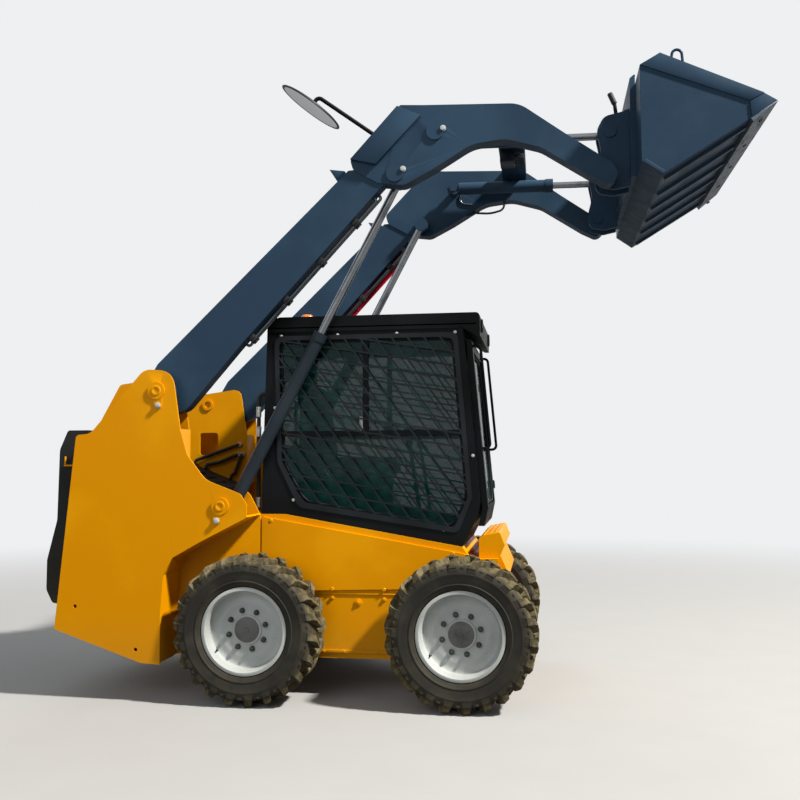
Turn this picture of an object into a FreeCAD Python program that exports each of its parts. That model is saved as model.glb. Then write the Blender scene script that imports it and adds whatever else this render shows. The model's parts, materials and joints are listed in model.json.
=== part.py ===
# Skid steer loader with a raised lift boom, a quick coupler and a bucket rolled back.
# Millimetres, +X forward, +Y to the machine's left, +Z up, ground at Z = 0.
# Everything below is placed from the rear axle, and the whole machine is moved once, at the end,
# so that the origin lies on the ground under the middle of its length.

import FreeCAD
import Part
import math
import os

V = FreeCAD.Vector

# Wheels
wheel_base = 1120.0
tyre_radius = 387.5
tyre_width = 264.0
tyre_bead_radius = 218.0
tyre_bulge_radius = 300.0
lugs = 22
lug_depth = 24.0
lug_length = 127.0
lug_bevel = 25.0
lug_crest = 32.0
lug_slant = 9.7
rim_flange_radius = 227.5
rim_flange_half = 117.0
rim_bead_half = 103.0
rim_wall = 11.0
bead_slack = 1.0
disc_recess = 72.0
disc_thickness = 12.0
hub_radius = 75.0
hub_proud = 10.0
shaft_radius = 35.0
axle_housing_radius = 78.0

# Clearances
seat_gap = 0.3
running_gap = 0.05
pivot_gap = 5.0
door_gap = 6.0

# Key points seen from the side, from the rear axle on the ground
pivot_x = -500.0
pivot_z = 1645.0
lift_base_x = -140.0
lift_base_z = 1030.0
lift_rod_x = 785.0
lift_rod_z = 2785.0
tilt_base_x = 1000.0
tilt_base_z = 3000.0
hinge_x = 1895.0
hinge_z = 2745.0
tilt_rod_x = 1912.0
tilt_rod_z = 2990.0

# Widths, each measured from the middle plane or from the piece beside it
tub_half = 434.0
panel_thickness = 12.0
tyre_side_gap = 52.0
hub_set_back = 52.0
cab_set_in = 6.0
cab_wall = 40.0
tower_set_out = 74.0
tower_width = 192.0
tower_plate = 10.0
saddle_ear = 10.0
arm_side_gap = 12.0
arm_width = 100.0
beam_inset = 8.0
eye_width = 60.0
lift_side_gap = 11.0
tilt_set_in = 90.0
coupler_side_gap = 16.0
coupler_pair = 148.0
coupler_ear = 24.0
coupler_plate = 28.0
coupler_half = 570.0
bucket_half = 815.0
wheel_centre_y = tub_half + tyre_side_gap + tyre_width / 2
axle_housing_reach = wheel_centre_y - hub_set_back
panel_half = tub_half + panel_thickness
cab_half = tub_half - cab_set_in
tower_inner_y = tub_half + tower_set_out
tower_outer_y = tower_inner_y + tower_width
arm_inner_y = tower_inner_y + tower_plate + arm_side_gap
arm_outer_y = arm_inner_y + arm_width
lift_cylinder_y = tub_half + saddle_ear + lift_side_gap + eye_width / 2
tilt_cylinder_y = arm_inner_y - tilt_set_in
coupler_outer_y = arm_inner_y - coupler_side_gap
coupler_inner_y = coupler_outer_y - coupler_pair

# Pins and cylinders
pivot_pin_radius = 30.0
lift_pin_radius = 25.0
tilt_pin_radius = 25.0
hinge_pin_radius = 28.0
pin_head_radius = 46.0
pin_head = 10.0
keeper_half = 36.0
keeper_end = 20.0
keeper_thickness = 6.0
lift_barrel_radius = 36.0
lift_bore_radius = 29.0
lift_shaft_radius = 22.0
lift_barrel_length = 1053.0
lift_shaft_inside = 800.0
tilt_barrel_radius = 38.0
tilt_bore_radius = 30.0
tilt_shaft_radius = 20.0
tilt_barrel_length = 627.0
tilt_shaft_inside = 300.0
eye_radius = 42.0
gland_length = 48.0
gland_step = 4.0

# Cab
cab_rear_x = 0.0
cab_floor_z = 975.0
cab_top_z = 2000.0
cab_lean = 30.0
cab_front_x = 1205.0
cab_front_z = 1040.0
cab_front_top_x = 1120.0
cab_toe_x = 1110.0
cab_toe_z = 805.0
floor_break_x = 136.0
roof_top_z = 2064.0
roof_front_x = 1214.0
visor_z = 1940.0
seat_rear_x = 215.0
seat_top_z = 1180.0
glass_thickness = 6.0
glass_set_in = 32.0
glass_y = cab_half - glass_set_in
door_set_in = 56.0
door_half = cab_half - door_set_in
door_post = 62.0
door_thickness = 32.0
door_top_z = 1925.0
door_low_z = 912.0
guard_thickness = 6.0
guard_bar = 9.0
guard_pitch_x = 88.0
guard_pitch_z = 73.0
guard_steep = 54.0
guard_shallow = 9.0
guard_rim = 24.0

# Chassis
belly_z = 205.0
tub_front_x = 1300.0
tub_front_top_z = 745.0
rear_deck_z = 440.0
bulkhead_x = -40.0
hood_front_x = -400.0
hood_front_z = 1110.0
hood_rear_z = 1330.0
hood_thickness = 30.0
hood_slots = 7

# Rear door
tail_lap = 32.0
tail_half = tower_inner_y + tail_lap
tail_hinge_x = -1090.0
tail_hinge_reach = 20.0
tail_hinge_y = tail_half + tail_hinge_reach
tail_slots = 8
tail_slot_pitch = 36.0
tail_slot_height = 16.0
tail_slot_half = 280.0
tail_rear_x = -1200.0
tail_pan_wall = 30.0

# Bucket, from its heel
bucket_back_x = 2040.0
bucket_wall = 12.0
bucket_tip_x = 2689.0
bucket_tip_z = 2993.0
bucket_heel_x = 2139.0
bucket_heel_z = 2657.0
blade_length = 154.0
floor_stop = 106.0
blade_thickness = 22.0
bucket_ribs = 6
rib_width = 34.0
rib_height = 14.0

# Boom fittings
cross_height = 60.0
cross_x0 = 1310.0
cross_x1 = 1460.0
cross_z0 = 3070.0
pipe_radius = 8.0
hose_radius = 11.0
hose_stand = 24.0
pipe_drop = 24.0
mirror_radius = 187.0
mirror_y = 628.0
mirror_depth = 26.0
mirror_post_radius = 11.0

# Holes in the tower's outer plate, from the rear axle: forward, up
tie_hole_radius = 10.0
boss_radius = 36.0
well_clear = 12.0
tie_holes = [(-945.0, 108.0), (-600.0, -112.0)]

rear_axle = (0.0, tyre_radius)
pivot = (pivot_x, pivot_z)
lift_base = (lift_base_x, lift_base_z)
lift_rod = (lift_rod_x, lift_rod_z)
tilt_base = (tilt_base_x, tilt_base_z)
hinge = (hinge_x, hinge_z)
tilt_rod = (tilt_rod_x, tilt_rod_z)
origin_x = (tail_rear_x + bucket_tip_x) / 2
nodes = {}


# Shapes seen from the side
def corner_arc(before, corner, after, radius):
    a = (before - corner).normalize()
    b = (after - corner).normalize()
    half = a.getAngle(b) / 2
    reach = radius / math.tan(half)
    middle = corner + (a + b).normalize() * (radius / math.sin(half) - radius)
    return corner + a * reach, middle, corner + b * reach


def side_wire(corners, y):
    points = [V(x, y, z) for x, z, radius in corners]
    edges = []
    first = None
    last = None
    for i, (x, z, radius) in enumerate(corners):
        start = points[i]
        end = points[i]
        if radius > 0:
            start, middle, end = corner_arc(points[i - 1], points[i], points[(i + 1) % len(points)], radius)
        if last is not None and (start - last).Length > 1e-6:
            edges.append(Part.LineSegment(last, start).toShape())
        if radius > 0:
            edges.append(Part.Arc(start, middle, end).toShape())
        if first is None:
            first = start
        last = end
    if (first - last).Length > 1e-6:
        edges.append(Part.LineSegment(last, first).toShape())
    return Part.Wire(edges)


def side_plate(corners, y0, y1):
    face = Part.Face(side_wire(corners, y0))
    return face.extrude(V(0, y1 - y0, 0))


def from_anchors(rows):
    # rows: anchor, distance forward, distance up, corner radius
    return [(anchor[0] + dx, anchor[1] + dz, radius) for anchor, dx, dz, radius in rows]


def side_strip(points, thickness, y0, y1):
    # a bent sheet: its outer line is given, and its thickness lies to the left of that line
    left = []
    for i, (x, z) in enumerate(points):
        normals = []
        for j in (i - 1, i):
            if 0 <= j < len(points) - 1:
                run = V(points[j + 1][0] - points[j][0], 0, points[j + 1][1] - points[j][1]).normalize()
                normals.append(V(-run.z, 0, run.x))
        mean = V(0, 0, 0)
        for normal in normals:
            mean = mean + normal
        mean.normalize()
        reach = thickness / mean.dot(normals[0])
        left.append((x + mean.x * reach, z + mean.z * reach, 0))
    return side_plate([(x, z, 0) for x, z in points] + left[::-1], y0, y1)


def box(x0, x1, y0, y1, z0, z1):
    return Part.makeBox(x1 - x0, y1 - y0, z1 - z0, V(x0, y0, z0))


def cross_pin(point, radius, y0, y1):
    return Part.makeCylinder(radius, y1 - y0, V(point[0], y0, point[1]), V(0, 1, 0))


def rod(start, end, radius):
    return Part.makeCylinder(radius, (end - start).Length, start, end - start)


def bent_tube(points, radius, bend):
    edges = []
    last = points[0]
    for before, corner, after in zip(points, points[1:], points[2:]):
        start, middle, end = corner_arc(before, corner, after, bend)
        edges.append(Part.LineSegment(last, start).toShape())
        edges.append(Part.Arc(start, middle, end).toShape())
        last = end
    edges.append(Part.LineSegment(last, points[-1]).toShape())
    path = Part.Wire(edges)
    ring = Part.Wire(Part.Circle(points[0], points[1] - points[0], radius).toShape())
    return path.makePipeShell([ring], True, True)


def join(first, *others):
    return first.multiFuse(list(others)).removeSplitter()


def mirrored(shape):
    return shape.mirror(V(0, 0, 0), V(0, 1, 0))


def both_sides(shape):
    return Part.makeCompound([shape, mirrored(shape)])


def keeper(pin, dx, dz, y):
    # the flag that keeps a pin from turning, from the pin's head to its bolt
    away = V(dx, 0, dz)
    across = V(-dz, 0, dx).normalize()
    middle = V(pin[0], 0, pin[1])
    bolt = middle + away
    plate = side_plate([
        ((middle + across * keeper_half).x, (middle + across * keeper_half).z, 0),
        ((middle - across * keeper_half).x, (middle - across * keeper_half).z, 0),
        ((bolt - across * keeper_end).x, (bolt - across * keeper_end).z, 0),
        ((bolt + across * keeper_end).x, (bolt + across * keeper_end).z, 0),
    ], y - 2, y + keeper_thickness)
    end = cross_pin((bolt.x, bolt.z), keeper_end, y - 2, y + keeper_thickness)
    head = cross_pin((bolt.x, bolt.z), 12, y - 2, y + pin_head)
    return plate.fuse([end, head])


# Wheels: the shape is made on the Y axis, outer side towards +Y
def spun(profile):
    # profile: radius, distance outwards from the wheel's middle
    points = [V(0, y, r) for r, y in profile]
    wire = Part.makePolygon(points + points[:1])
    return Part.Face(wire).revolve(V(0, 0, 0), V(0, 1, 0), 360)


def wheel_point(radius, turn, y):
    return V(radius * math.cos(turn), y, radius * math.sin(turn))


def ring_points(radius, lead, y):
    # the tread's roots: two for each lug, evenly spaced
    return [wheel_point(radius, lead + math.pi * i / lugs, y) for i in range(2 * lugs)]


def band(ring_a, ring_b, keep):
    faces = []
    for i in range(len(ring_a)):
        if keep(i):
            j = (i + 1) % len(ring_a)
            for corners in ((ring_a[i], ring_a[j], ring_b[j]), (ring_a[i], ring_b[j], ring_b[i])):
                faces.append(Part.Face(Part.makePolygon(list(corners) + [corners[0]])))
    return faces


def lug_faces(rings, tips, lead, side):
    # rings and tips: radius, distance across, how far the slant has turned there
    half_turn = lug_crest / 2 / tyre_radius
    faces = []
    for i in range(lugs):
        first = 2 * i if side > 0 else 2 * i + 1
        columns = []
        for (root, y, turn), (tip, tip_y, tip_turn) in zip(rings, tips):
            middle = lead + turn + math.pi * (first + 0.5) / lugs
            columns.append([
                wheel_point(root, lead + turn + math.pi * first / lugs, y),
                wheel_point(tip, middle - half_turn, y), wheel_point(tip, middle + half_turn, y),
                wheel_point(root, lead + turn + math.pi * (first + 1) / lugs, y),
            ])
        for near, far in zip(columns, columns[1:]):
            for k in range(3):
                for corners in ((near[k], near[k + 1], far[k + 1]), (near[k], far[k + 1], far[k])):
                    faces.append(Part.Face(Part.makePolygon(list(corners) + [corners[0]])))
        for column in (columns[0], columns[-1]):
            faces.append(Part.Face(Part.makePolygon(column + [column[0]])))
    return faces


def tyre():
    # flat faces throughout: lugs that slant from the middle to the shoulder, turned half a pitch from side to side
    root = tyre_radius - lug_depth
    slant = math.radians(lug_slant)
    flange_clear = rim_flange_radius + 1.5
    faces = []
    sidewalls = []
    for side in (1, -1):
        bend = lug_length - lug_bevel
        rings = [(root, 0.0, 0.0), (root - 5, side * bend, slant * bend / lug_length), (root - 14, side * lug_length, slant)]
        tips = [(tyre_radius, 0.0, 0.0), (tyre_radius, side * bend, 0.0), (tyre_radius - 13, side * lug_length, 0.0)]
        faces += lug_faces(rings, tips, 0.0, side)
        corners = [ring_points(radius, turn, y) for radius, y, turn in rings]
        gap = (lambda i: i % 2 == 1) if side > 0 else (lambda i: i % 2 == 0)
        faces += band(corners[0], corners[1], gap) + band(corners[1], corners[2], gap)
        wall = [corners[2]]
        for radius, y in ((tyre_bulge_radius, tyre_width / 2), (flange_clear, rim_bead_half - seat_gap),
                          (tyre_bead_radius + bead_slack, rim_bead_half - seat_gap)):
            wall.append(ring_points(radius, slant, side * y))
        for inner, outer in zip(wall, wall[1:]):
            faces += band(inner, outer, lambda i: True)
        sidewalls.append(wall[-1])
    faces += band(sidewalls[0], sidewalls[1], lambda i: True)
    shell = Part.makeShell(faces)
    shell.sewShape()
    return Part.makeSolid(shell)


def rim():
    outer = tyre_bead_radius - seat_gap
    inner = outer - rim_wall
    disc_y = rim_flange_half - disc_recess
    barrel = spun([
        (outer, rim_bead_half), (rim_flange_radius, rim_bead_half), (rim_flange_radius, rim_flange_half),
        (inner, rim_flange_half), (inner, -rim_flange_half), (rim_flange_radius, -rim_flange_half),
        (rim_flange_radius, -rim_bead_half), (outer, -rim_bead_half),
    ])
    hub_back = axle_housing_reach - wheel_centre_y + seat_gap
    disc = spun([
        (0, disc_y + hub_proud), (hub_radius, disc_y + hub_proud), (hub_radius, disc_y), (inner + 1, disc_y),
        (inner + 1, disc_y - disc_thickness), (axle_housing_radius, disc_y - disc_thickness),
        (axle_housing_radius, hub_back), (shaft_radius, hub_back), (shaft_radius, hub_back - 60),
        (0, hub_back - 60),
    ])
    return barrel.fuse(disc).removeSplitter()


def wheels():
    # columns: name, axle position, side
    table = [("rear_right", 0.0, -1), ("rear_left", 0.0, 1), ("front_right", wheel_base, -1),
             ("front_left", wheel_base, 1)]
    for name, axle_x, side in table:
        for piece, shape in (("tyre", tyre()), ("rim", rim())):
            placed = shape.translated(V(axle_x, wheel_centre_y, tyre_radius))
            nodes[piece + "_" + name] = placed if side > 0 else mirrored(placed)


# Chassis
def main_frame():
    tub = side_plate([
        (bulkhead_x, belly_z, 0), (tub_front_x - 110, belly_z, 60), (tub_front_x, belly_z + 130, 40),
        (tub_front_x, tub_front_top_z, 0), (cab_toe_x + 40, tub_front_top_z, 0), (cab_toe_x, cab_toe_z, 0),
        (floor_break_x, cab_floor_z, 0), (bulkhead_x, cab_floor_z, 0),
    ], -tub_half, tub_half)
    rear_pan = side_plate([
        (-1040, rear_deck_z, 0), (-560, belly_z + 5, 0), (-480, belly_z, 0), (-480, rear_deck_z, 0),
    ], -tower_inner_y, tower_inner_y)
    keel = box(-490, bulkhead_x + 10, -tub_half, tub_half, belly_z, rear_deck_z)
    frame = join(tub, rear_pan, keel)
    for axle_x in (0.0, wheel_base):
        for side in (-1, 1):
            housing = cross_pin((axle_x, tyre_radius), axle_housing_radius, tub_half - 20, axle_housing_reach)
            bore = cross_pin((axle_x, tyre_radius), shaft_radius + running_gap, axle_housing_reach - 64,
                             axle_housing_reach)
            housing = housing.cut(bore)
            frame = frame.fuse(housing if side > 0 else mirrored(housing))
    return frame.removeSplitter()


def side_panels():
    panel = side_plate([
        (8, cab_floor_z - 12, 12), (cab_toe_x, cab_toe_z - 32, 20), (tub_front_x - 60, tub_front_top_z - 25, 20),
        (tub_front_x - 60, 590, 10), (8, 556, 10),
    ], tub_half, panel_half)
    return both_sides(panel)


def front_step():
    return side_plate([
        (cab_toe_x + 85, tub_front_top_z, 0), (cab_toe_x + 85, 848, 8), (1228, 867, 8), (1308, 884, 8),
        (1334, 815, 8), (1310, 762, 8), (1356, 657, 8), (1345, 620, 6), (tub_front_x, 620, 0),
        (tub_front_x, tub_front_top_z, 0),
    ], -402, 402)


def tower_rear_x(z):
    # the tower's sloping rear edge
    top = (pivot_x - 456, pivot_z - 234)
    low = (-1062, tyre_radius - 15)
    return low[0] + (top[0] - low[0]) * (z - low[1]) / (top[1] - low[1])


def tower():
    outline = from_anchors([
        (rear_axle, -1062, -15, 12), (pivot, -456, -234, 24), (pivot, -376, -229, 70), (pivot, -72, 116, 80),
        (pivot, 86, 104, 90), (pivot, 134, -212, 0), (pivot, 174, -345, 90), (pivot, 275, -477, 120),
        (lift_base, 107, 64, 40), (lift_base, 143, 7, 20), (lift_base, 141, -61, 20),
        (lift_base, -109, -187, 60), (rear_axle, -403, 370, 40), (rear_axle, -452, 280, 60),
        (rear_axle, -466, 82, 0), (rear_axle, -466, -187, 0), (rear_axle, -573, -180, 20),
    ])
    outer = side_plate(outline, tower_outer_y - tower_plate, tower_outer_y)
    inner = side_plate(from_anchors([
        (rear_axle, -1058, -12, 0), (pivot, -452, -238, 20), (pivot, -292, 50, 30), (pivot, 67, 98, 50),
        (pivot, 118, -239, 0), (pivot, 118, -501, 0), (rear_axle, -440, 372, 0), (rear_axle, -466, 280, 0),
        (rear_axle, -466, -180, 0), (rear_axle, -573, -172, 0),
    ]), tower_inner_y, tower_inner_y + tower_plate)
    window = side_plate(from_anchors([
        (pivot, -209, -190, 20), (pivot, -83, -190, 20), (pivot, -83, -337, 20), (pivot, -209, -337, 20),
    ]), tower_inner_y - 5, tower_inner_y + tower_plate + 5)
    inner = inner.cut(window)
    y0 = tower_inner_y
    y1 = tower_outer_y - tower_plate / 2
    front_web = box(pivot_x + 108, pivot_x + 118, y0, y1, pivot_z - 520, pivot_z - 205)
    rear_web = side_strip([
        (pivot_x - 456, pivot_z - 240), (-1058, tyre_radius - 5), (-573, belly_z + 4), (-470, belly_z + 4),
    ], 10, y0, y1)
    fender = side_strip([
        (-466, belly_z + 4), (-466, tyre_radius + 82), (-452, tyre_radius + 280), (-403, tyre_radius + 368),
        (lift_base_x - 109, lift_base_z - 185), (lift_base_x + 140, lift_base_z - 58),
    ], 10, tower_inner_y, y1)
    saddle_line = [
        (-466, rear_deck_z), (-466, tyre_radius + 82), (-452, tyre_radius + 280), (-403, tyre_radius + 368),
        (lift_base_x - 109, lift_base_z - 185), (lift_base_x + 140, lift_base_z - 58),
    ]
    saddle = side_strip(saddle_line, 10, tub_half, tower_inner_y + 5)
    # the plate beside the tyre closes the body above the axle housing
    well_low = tyre_radius + axle_housing_radius + well_clear
    well = side_plate([(x, z, 0) for x, z in saddle_line] + [
        (lift_base_x + 140, well_low, 0), (-axle_housing_radius - well_clear, well_low, 0),
        (-axle_housing_radius - well_clear, rear_deck_z, 0),
    ], tub_half, tub_half + saddle_ear)
    ear = side_plate(from_anchors([
        (lift_base, -70, 70, 50), (lift_base, 70, 70, 50), (lift_base, 139, -58, 0), (lift_base, -107, -182, 0),
        (lift_base, -160, -100, 40),
    ]), tub_half, tub_half + saddle_ear)
    pins = [
        cross_pin(pivot, pivot_pin_radius, tower_inner_y, tower_outer_y + pin_head),
        cross_pin(pivot, pin_head_radius, tower_outer_y - 2, tower_outer_y + pin_head),
        cross_pin(lift_base, lift_pin_radius, tub_half, tower_outer_y + pin_head),
        cross_pin(lift_base, pin_head_radius, tower_outer_y - 2, tower_outer_y + pin_head),
        keeper(pivot, 10, -80, tower_outer_y),
        keeper(lift_base, -18, -76, tower_outer_y),
    ]
    brackets = []
    for z in tail_knuckles():
        brackets.append(box(tail_hinge_x, tower_rear_x(z) + 14, tail_hinge_y - 8, tail_hinge_y + 8, z - 8, z))
        brackets.append(Part.makeCylinder(8, 8, V(tail_hinge_x, tail_hinge_y, z - 8)))
        brackets.append(Part.makeCylinder(5, 50, V(tail_hinge_x, tail_hinge_y, z - 4)))
    boss = cross_pin((pivot_x - 155, pivot_z - 5), boss_radius, tower_inner_y - 10, tower_inner_y + 2)
    boss = boss.cut(cross_pin((pivot_x - 155, pivot_z - 5), boss_radius - 14, tower_inner_y - 15, tower_inner_y))
    whole = join(outer, inner, front_web, rear_web, fender, saddle, well, ear, boss, *(pins + brackets))
    for dx, dz in tie_holes:
        whole = whole.cut(cross_pin((dx, tyre_radius + dz), tie_hole_radius, tower_outer_y - 30, tower_outer_y + 5))
    return whole


def hood_top_z(x):
    fall = (hood_front_z - hood_rear_z) / (hood_front_x - (pivot_x - 440))
    return hood_rear_z + fall * (x - pivot_x + 440)


def chassis_hoses():
    wall = tower_inner_y - seat_gap
    near = wall - hose_stand
    off_hood = V(hood_rear_z - hood_front_z, 0, hood_front_x - (pivot_x - 440)).normalize()
    hoses = []
    # columns: start on the hood, a point on the way, and the end at the tower's inner plate
    for start_x, bend_x, bend_z, end_x, end_z in ((-735, -600, 1318, -432, 1376), (-660, -560, 1262, -440, 1310),
                                                  (-490, -458, 1190, -412, 1312)):
        foot = V(start_x, near, hood_top_z(start_x)) + off_hood * seat_gap
        points = [foot, foot + off_hood * 30, V(bend_x, near, bend_z), V(end_x, near, end_z), V(end_x, wall, end_z)]
        hoses.append(bent_tube(points, hose_radius, 16))
    # one hose runs up the cab's rear wall, from the ledge of the tub to its hole
    y = cab_half - 28
    x = bulkhead_x + 15
    top_z = 1640
    points = [V(x, y, cab_floor_z + seat_gap), V(x, y, top_z), V(rear_wall_x(top_z) - 2 * seat_gap, y, top_z)]
    hoses.append(bent_tube(points, hose_radius, 30))
    return both_sides(Part.makeCompound(hoses))


def engine_block():
    return box(-960, -480, -290, 290, rear_deck_z, 1020)


def engine_hood():
    run = V(hood_front_x - (pivot_x - 440), 0, hood_front_z - hood_rear_z)
    hood = side_plate([
        (pivot_x - 440, hood_rear_z, 0), (hood_front_x, hood_front_z, 0),
        (hood_front_x, hood_front_z - hood_thickness, 0), (pivot_x - 440, hood_rear_z - hood_thickness, 0),
    ], -tower_inner_y, tower_inner_y)
    for i in range(hood_slots):
        middle = V(pivot_x - 440, 0, hood_rear_z) + run * ((i + 1.0) / (hood_slots + 1))
        hood = hood.cut(box(middle.x - 14, middle.x + 14, -330, 330, hood_front_z - 100, hood_rear_z + 20))
    return hood


# Rear door
def tail_knuckles():
    return (700.0, 1250.0)


def rear_door():
    profile = [
        (-1066, 470, 0), (-1163, 487, 20), (tail_rear_x, 557, 60), (tail_rear_x + 1, 722, 90),
        (-1143, 944, 90), (-1135, 1333, 60), (-1088, 1442, 20), (-966, 1442, 0),
    ]
    door = side_plate(profile, -tail_half, tail_half)
    pocket = side_plate([
        (-1000, 520, 0), (-1140, 540, 0), (-1168, 575, 0), (-1168, 715, 0), (-1112, 935, 0),
        (-1104, 1320, 0), (-1070, 1405, 0), (-900, 1405, 0),
    ], tail_pan_wall - tail_half, tail_half - tail_pan_wall)
    door = door.cut(pocket)
    for i in range(tail_slots):
        z = 980 + i * tail_slot_pitch
        door = door.cut(box(-1160, -1090, -tail_slot_half, tail_slot_half, z, z + tail_slot_height))
    for z in tail_knuckles():
        knuckle = Part.makeCylinder(9, 40, V(tail_hinge_x, tail_hinge_y, z + seat_gap))
        arm = box(tail_hinge_x - 7, tail_hinge_x + 7, tail_half - 6, tail_hinge_y, z + seat_gap, z + 40 + seat_gap)
        bore = Part.makeCylinder(5 + running_gap, 60, V(tail_hinge_x, tail_hinge_y, z - 5))
        door = door.fuse([knuckle, arm]).cut(bore)
    return door.removeSplitter()


def tail_lamps():
    face = []
    for z in (1230, 1310):
        face.append((-1143 + 8 * (z - 944) / 389 - seat_gap, z))
    lamp = side_plate([(face[0][0], face[0][1], 0), (face[1][0], face[1][1], 0),
                       (face[1][0] - 14, face[1][1], 6), (face[0][0] - 14, face[0][1], 6)],
                      tail_half - 150, tail_half - 40)
    return both_sides(lamp)


# Cab
def rear_wall_x(z):
    return cab_rear_x + cab_lean * (z - cab_floor_z) / (cab_top_z - cab_floor_z)


def front_wall_x(z):
    return cab_front_x + (cab_front_top_x - cab_front_x) * (z - cab_front_z) / (cab_top_z - cab_front_z)


def cab_window(grow):
    return [
        (rear_wall_x(1930) + 72 - grow, 1930 + grow, 40), (front_wall_x(1930) - 62 + grow, 1930 + grow, 40),
        (front_wall_x(1075) - 66 + grow, 1065, 60), (cab_toe_x - 50 + grow, 905 - grow, 40),
        (240 - grow, 1040 - grow, 60), (rear_wall_x(1260) + 112 - grow, 1260, 90),
    ]


def cab_frame():
    outer = side_plate([
        (cab_rear_x, cab_floor_z, 0), (cab_rear_x + cab_lean, cab_top_z, 20),
        (cab_front_top_x, cab_top_z, 20), (cab_front_x, cab_front_z, 40), (cab_front_x - 15, 960, 60),
        (cab_toe_x, cab_toe_z, 0), (floor_break_x, cab_floor_z, 0),
    ], -cab_half, cab_half)
    inside_half = cab_half - cab_wall
    inner = side_plate([
        (cab_rear_x + 42, cab_floor_z + 40, 0), (cab_rear_x + cab_lean + 40, cab_top_z - 40, 0),
        (cab_front_top_x - 40, cab_top_z - 40, 0), (cab_front_x - 40, cab_front_z, 0),
        (cab_front_x - 55, 975, 0), (cab_toe_x - 20, cab_toe_z + 45, 0), (floor_break_x + 10, cab_floor_z + 40, 0),
    ], -inside_half, inside_half)
    shell = outer.cut(inner)
    window = side_plate(cab_window(0), inside_half - 20, cab_half + 20)
    doorway = box(900, 1400, -door_half + door_post, door_half - door_post, 960, visor_z - 60)
    rear_window = box(-60, 160, -330, 330, 1350, 1900)
    shell = shell.cut(Part.makeCompound([window, mirrored(window), doorway, rear_window]))
    roof = side_plate([
        (cab_rear_x + cab_lean, cab_top_z - 20, 0), (cab_rear_x + cab_lean + 4, cab_top_z + 44, 12),
        (100, roof_top_z, 30), (roof_front_x, roof_top_z, 24), (roof_front_x, visor_z, 0),
        (roof_front_x - 24, visor_z, 0), (cab_front_top_x - 20, cab_top_z - 6, 0),
        (cab_front_top_x - 20, cab_top_z - 20, 0),
    ], -cab_half - 4, cab_half + 4)
    bar_y = glass_y + glass_thickness
    rail = box(rear_wall_x(1415) + 60, front_wall_x(1430) - 40, bar_y, bar_y + 20, 1400, 1430)
    divider = box(569, 599, bar_y, bar_y + 20, 1415, 1940)
    seat_base = box(seat_rear_x, 640, -190, 190, cab_floor_z, seat_top_z)
    pieces = [roof, rail, mirrored(rail), divider, mirrored(divider), seat_base]
    for z in door_knuckles():
        pin = door_axis_point(z)
        arm = box(pin.x - 75, pin.x, pin.y - 8, pin.y + 8, z - 8, z)
        pieces.append(arm)
        pieces.append(Part.makeCylinder(8, 8, V(pin.x, pin.y, z - 8)))
        pieces.append(rod(pin - door_axis() * 4, pin + door_axis() * 44, 5))
    return join(shell, *pieces)


def cab_glass():
    side = side_plate(cab_window(0), glass_y, glass_y + glass_thickness)
    depth = 15
    rear = side_plate([
        (rear_wall_x(1350) + depth, 1350, 0), (rear_wall_x(1350) + depth + glass_thickness, 1350, 0),
        (rear_wall_x(1900) + depth + glass_thickness, 1900, 0), (rear_wall_x(1900) + depth, 1900, 0),
    ], -330, 330)
    return Part.makeCompound([side, mirrored(side), rear])


def guard_cell(x, z, along, down, y0, y1):
    # one opening of the lattice between two steep strands and two shallow ones
    corners = []
    for i, j in ((-0.5, -0.5), (0.5, -0.5), (0.5, 0.5), (-0.5, 0.5)):
        corners.append((x + along.x * i + down.x * j, z + along.z * i + down.z * j, 0))
    return side_plate(corners, y0, y1)


def mesh_cells(y0, y1):
    # the steps from cell to cell: along a shallow strand, and down a steep one
    shallow = V(math.cos(math.radians(guard_shallow)), 0, -math.sin(math.radians(guard_shallow)))
    steep = V(math.cos(math.radians(guard_steep)), 0, -math.sin(math.radians(guard_steep)))
    skew = math.sin(math.radians(guard_steep - guard_shallow))
    step_a = shallow * (guard_pitch_x * math.sin(math.radians(guard_steep)) / skew)
    step_b = steep * (guard_pitch_z * math.cos(math.radians(guard_shallow)) / skew)
    along = step_a - shallow * (guard_bar / skew)
    down = step_b - steep * (guard_bar / skew)
    cells = []
    for i in range(-14, 22):
        for j in range(-2, 18):
            x = 40 + step_a.x * i + step_b.x * j
            z = 1980 + step_a.z * i + step_b.z * j
            if 0 < x < 1260 and 840 < z < 2040:
                cells.append(guard_cell(x, z, along, down, y0, y1))
    return Part.makeCompound(cells)


def window_guards():
    y0 = cab_half
    y1 = cab_half + guard_thickness
    plate = side_plate(cab_window(28), y0, y1)
    inside = side_plate(cab_window(28 - guard_rim), y0, y1)
    cells = mesh_cells(y0, y1)
    guard = plate.cut(cells.common(inside))
    return both_sides(guard)


def seat_cushion():
    low = seat_top_z + seat_gap
    return side_plate([(300, low, 20), (720, low, 40), (720, 1290, 50), (300, 1270, 30)], -235, 235)


def seat_back():
    low = seat_top_z + seat_gap
    front = 300 - seat_gap
    return side_plate([
        (seat_rear_x, low, 20), (front, low, 10), (front, 1290, 80), (235, 1740, 40), (130, 1740, 40),
    ], -225, 225)


def cab_floor_top(x):
    fall = (cab_toe_z + 45 - cab_floor_z - 40) / (cab_toe_x - 20 - floor_break_x - 10)
    return cab_floor_z + 40 + fall * (x - floor_break_x - 10)


def control_levers():
    foot = side_plate([
        (840, cab_floor_top(840), 0), (900, cab_floor_top(900), 0), (885, 925, 0), (845, 925, 0),
    ], 210, 260)
    lever = rod(V(868, 235, 915), V(800, 235, 1360), 11)
    grip = rod(V(801, 235, 1350), V(785, 235, 1455), 19)
    return both_sides(join(lever, grip, foot))


def cab_lamps():
    lamps = []
    for y in (-320, 320):
        lamps.append(Part.makeCylinder(38, 10, V(roof_front_x, y, 2003), V(1, 0, 0)))
    return Part.makeCompound(lamps)


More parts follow.
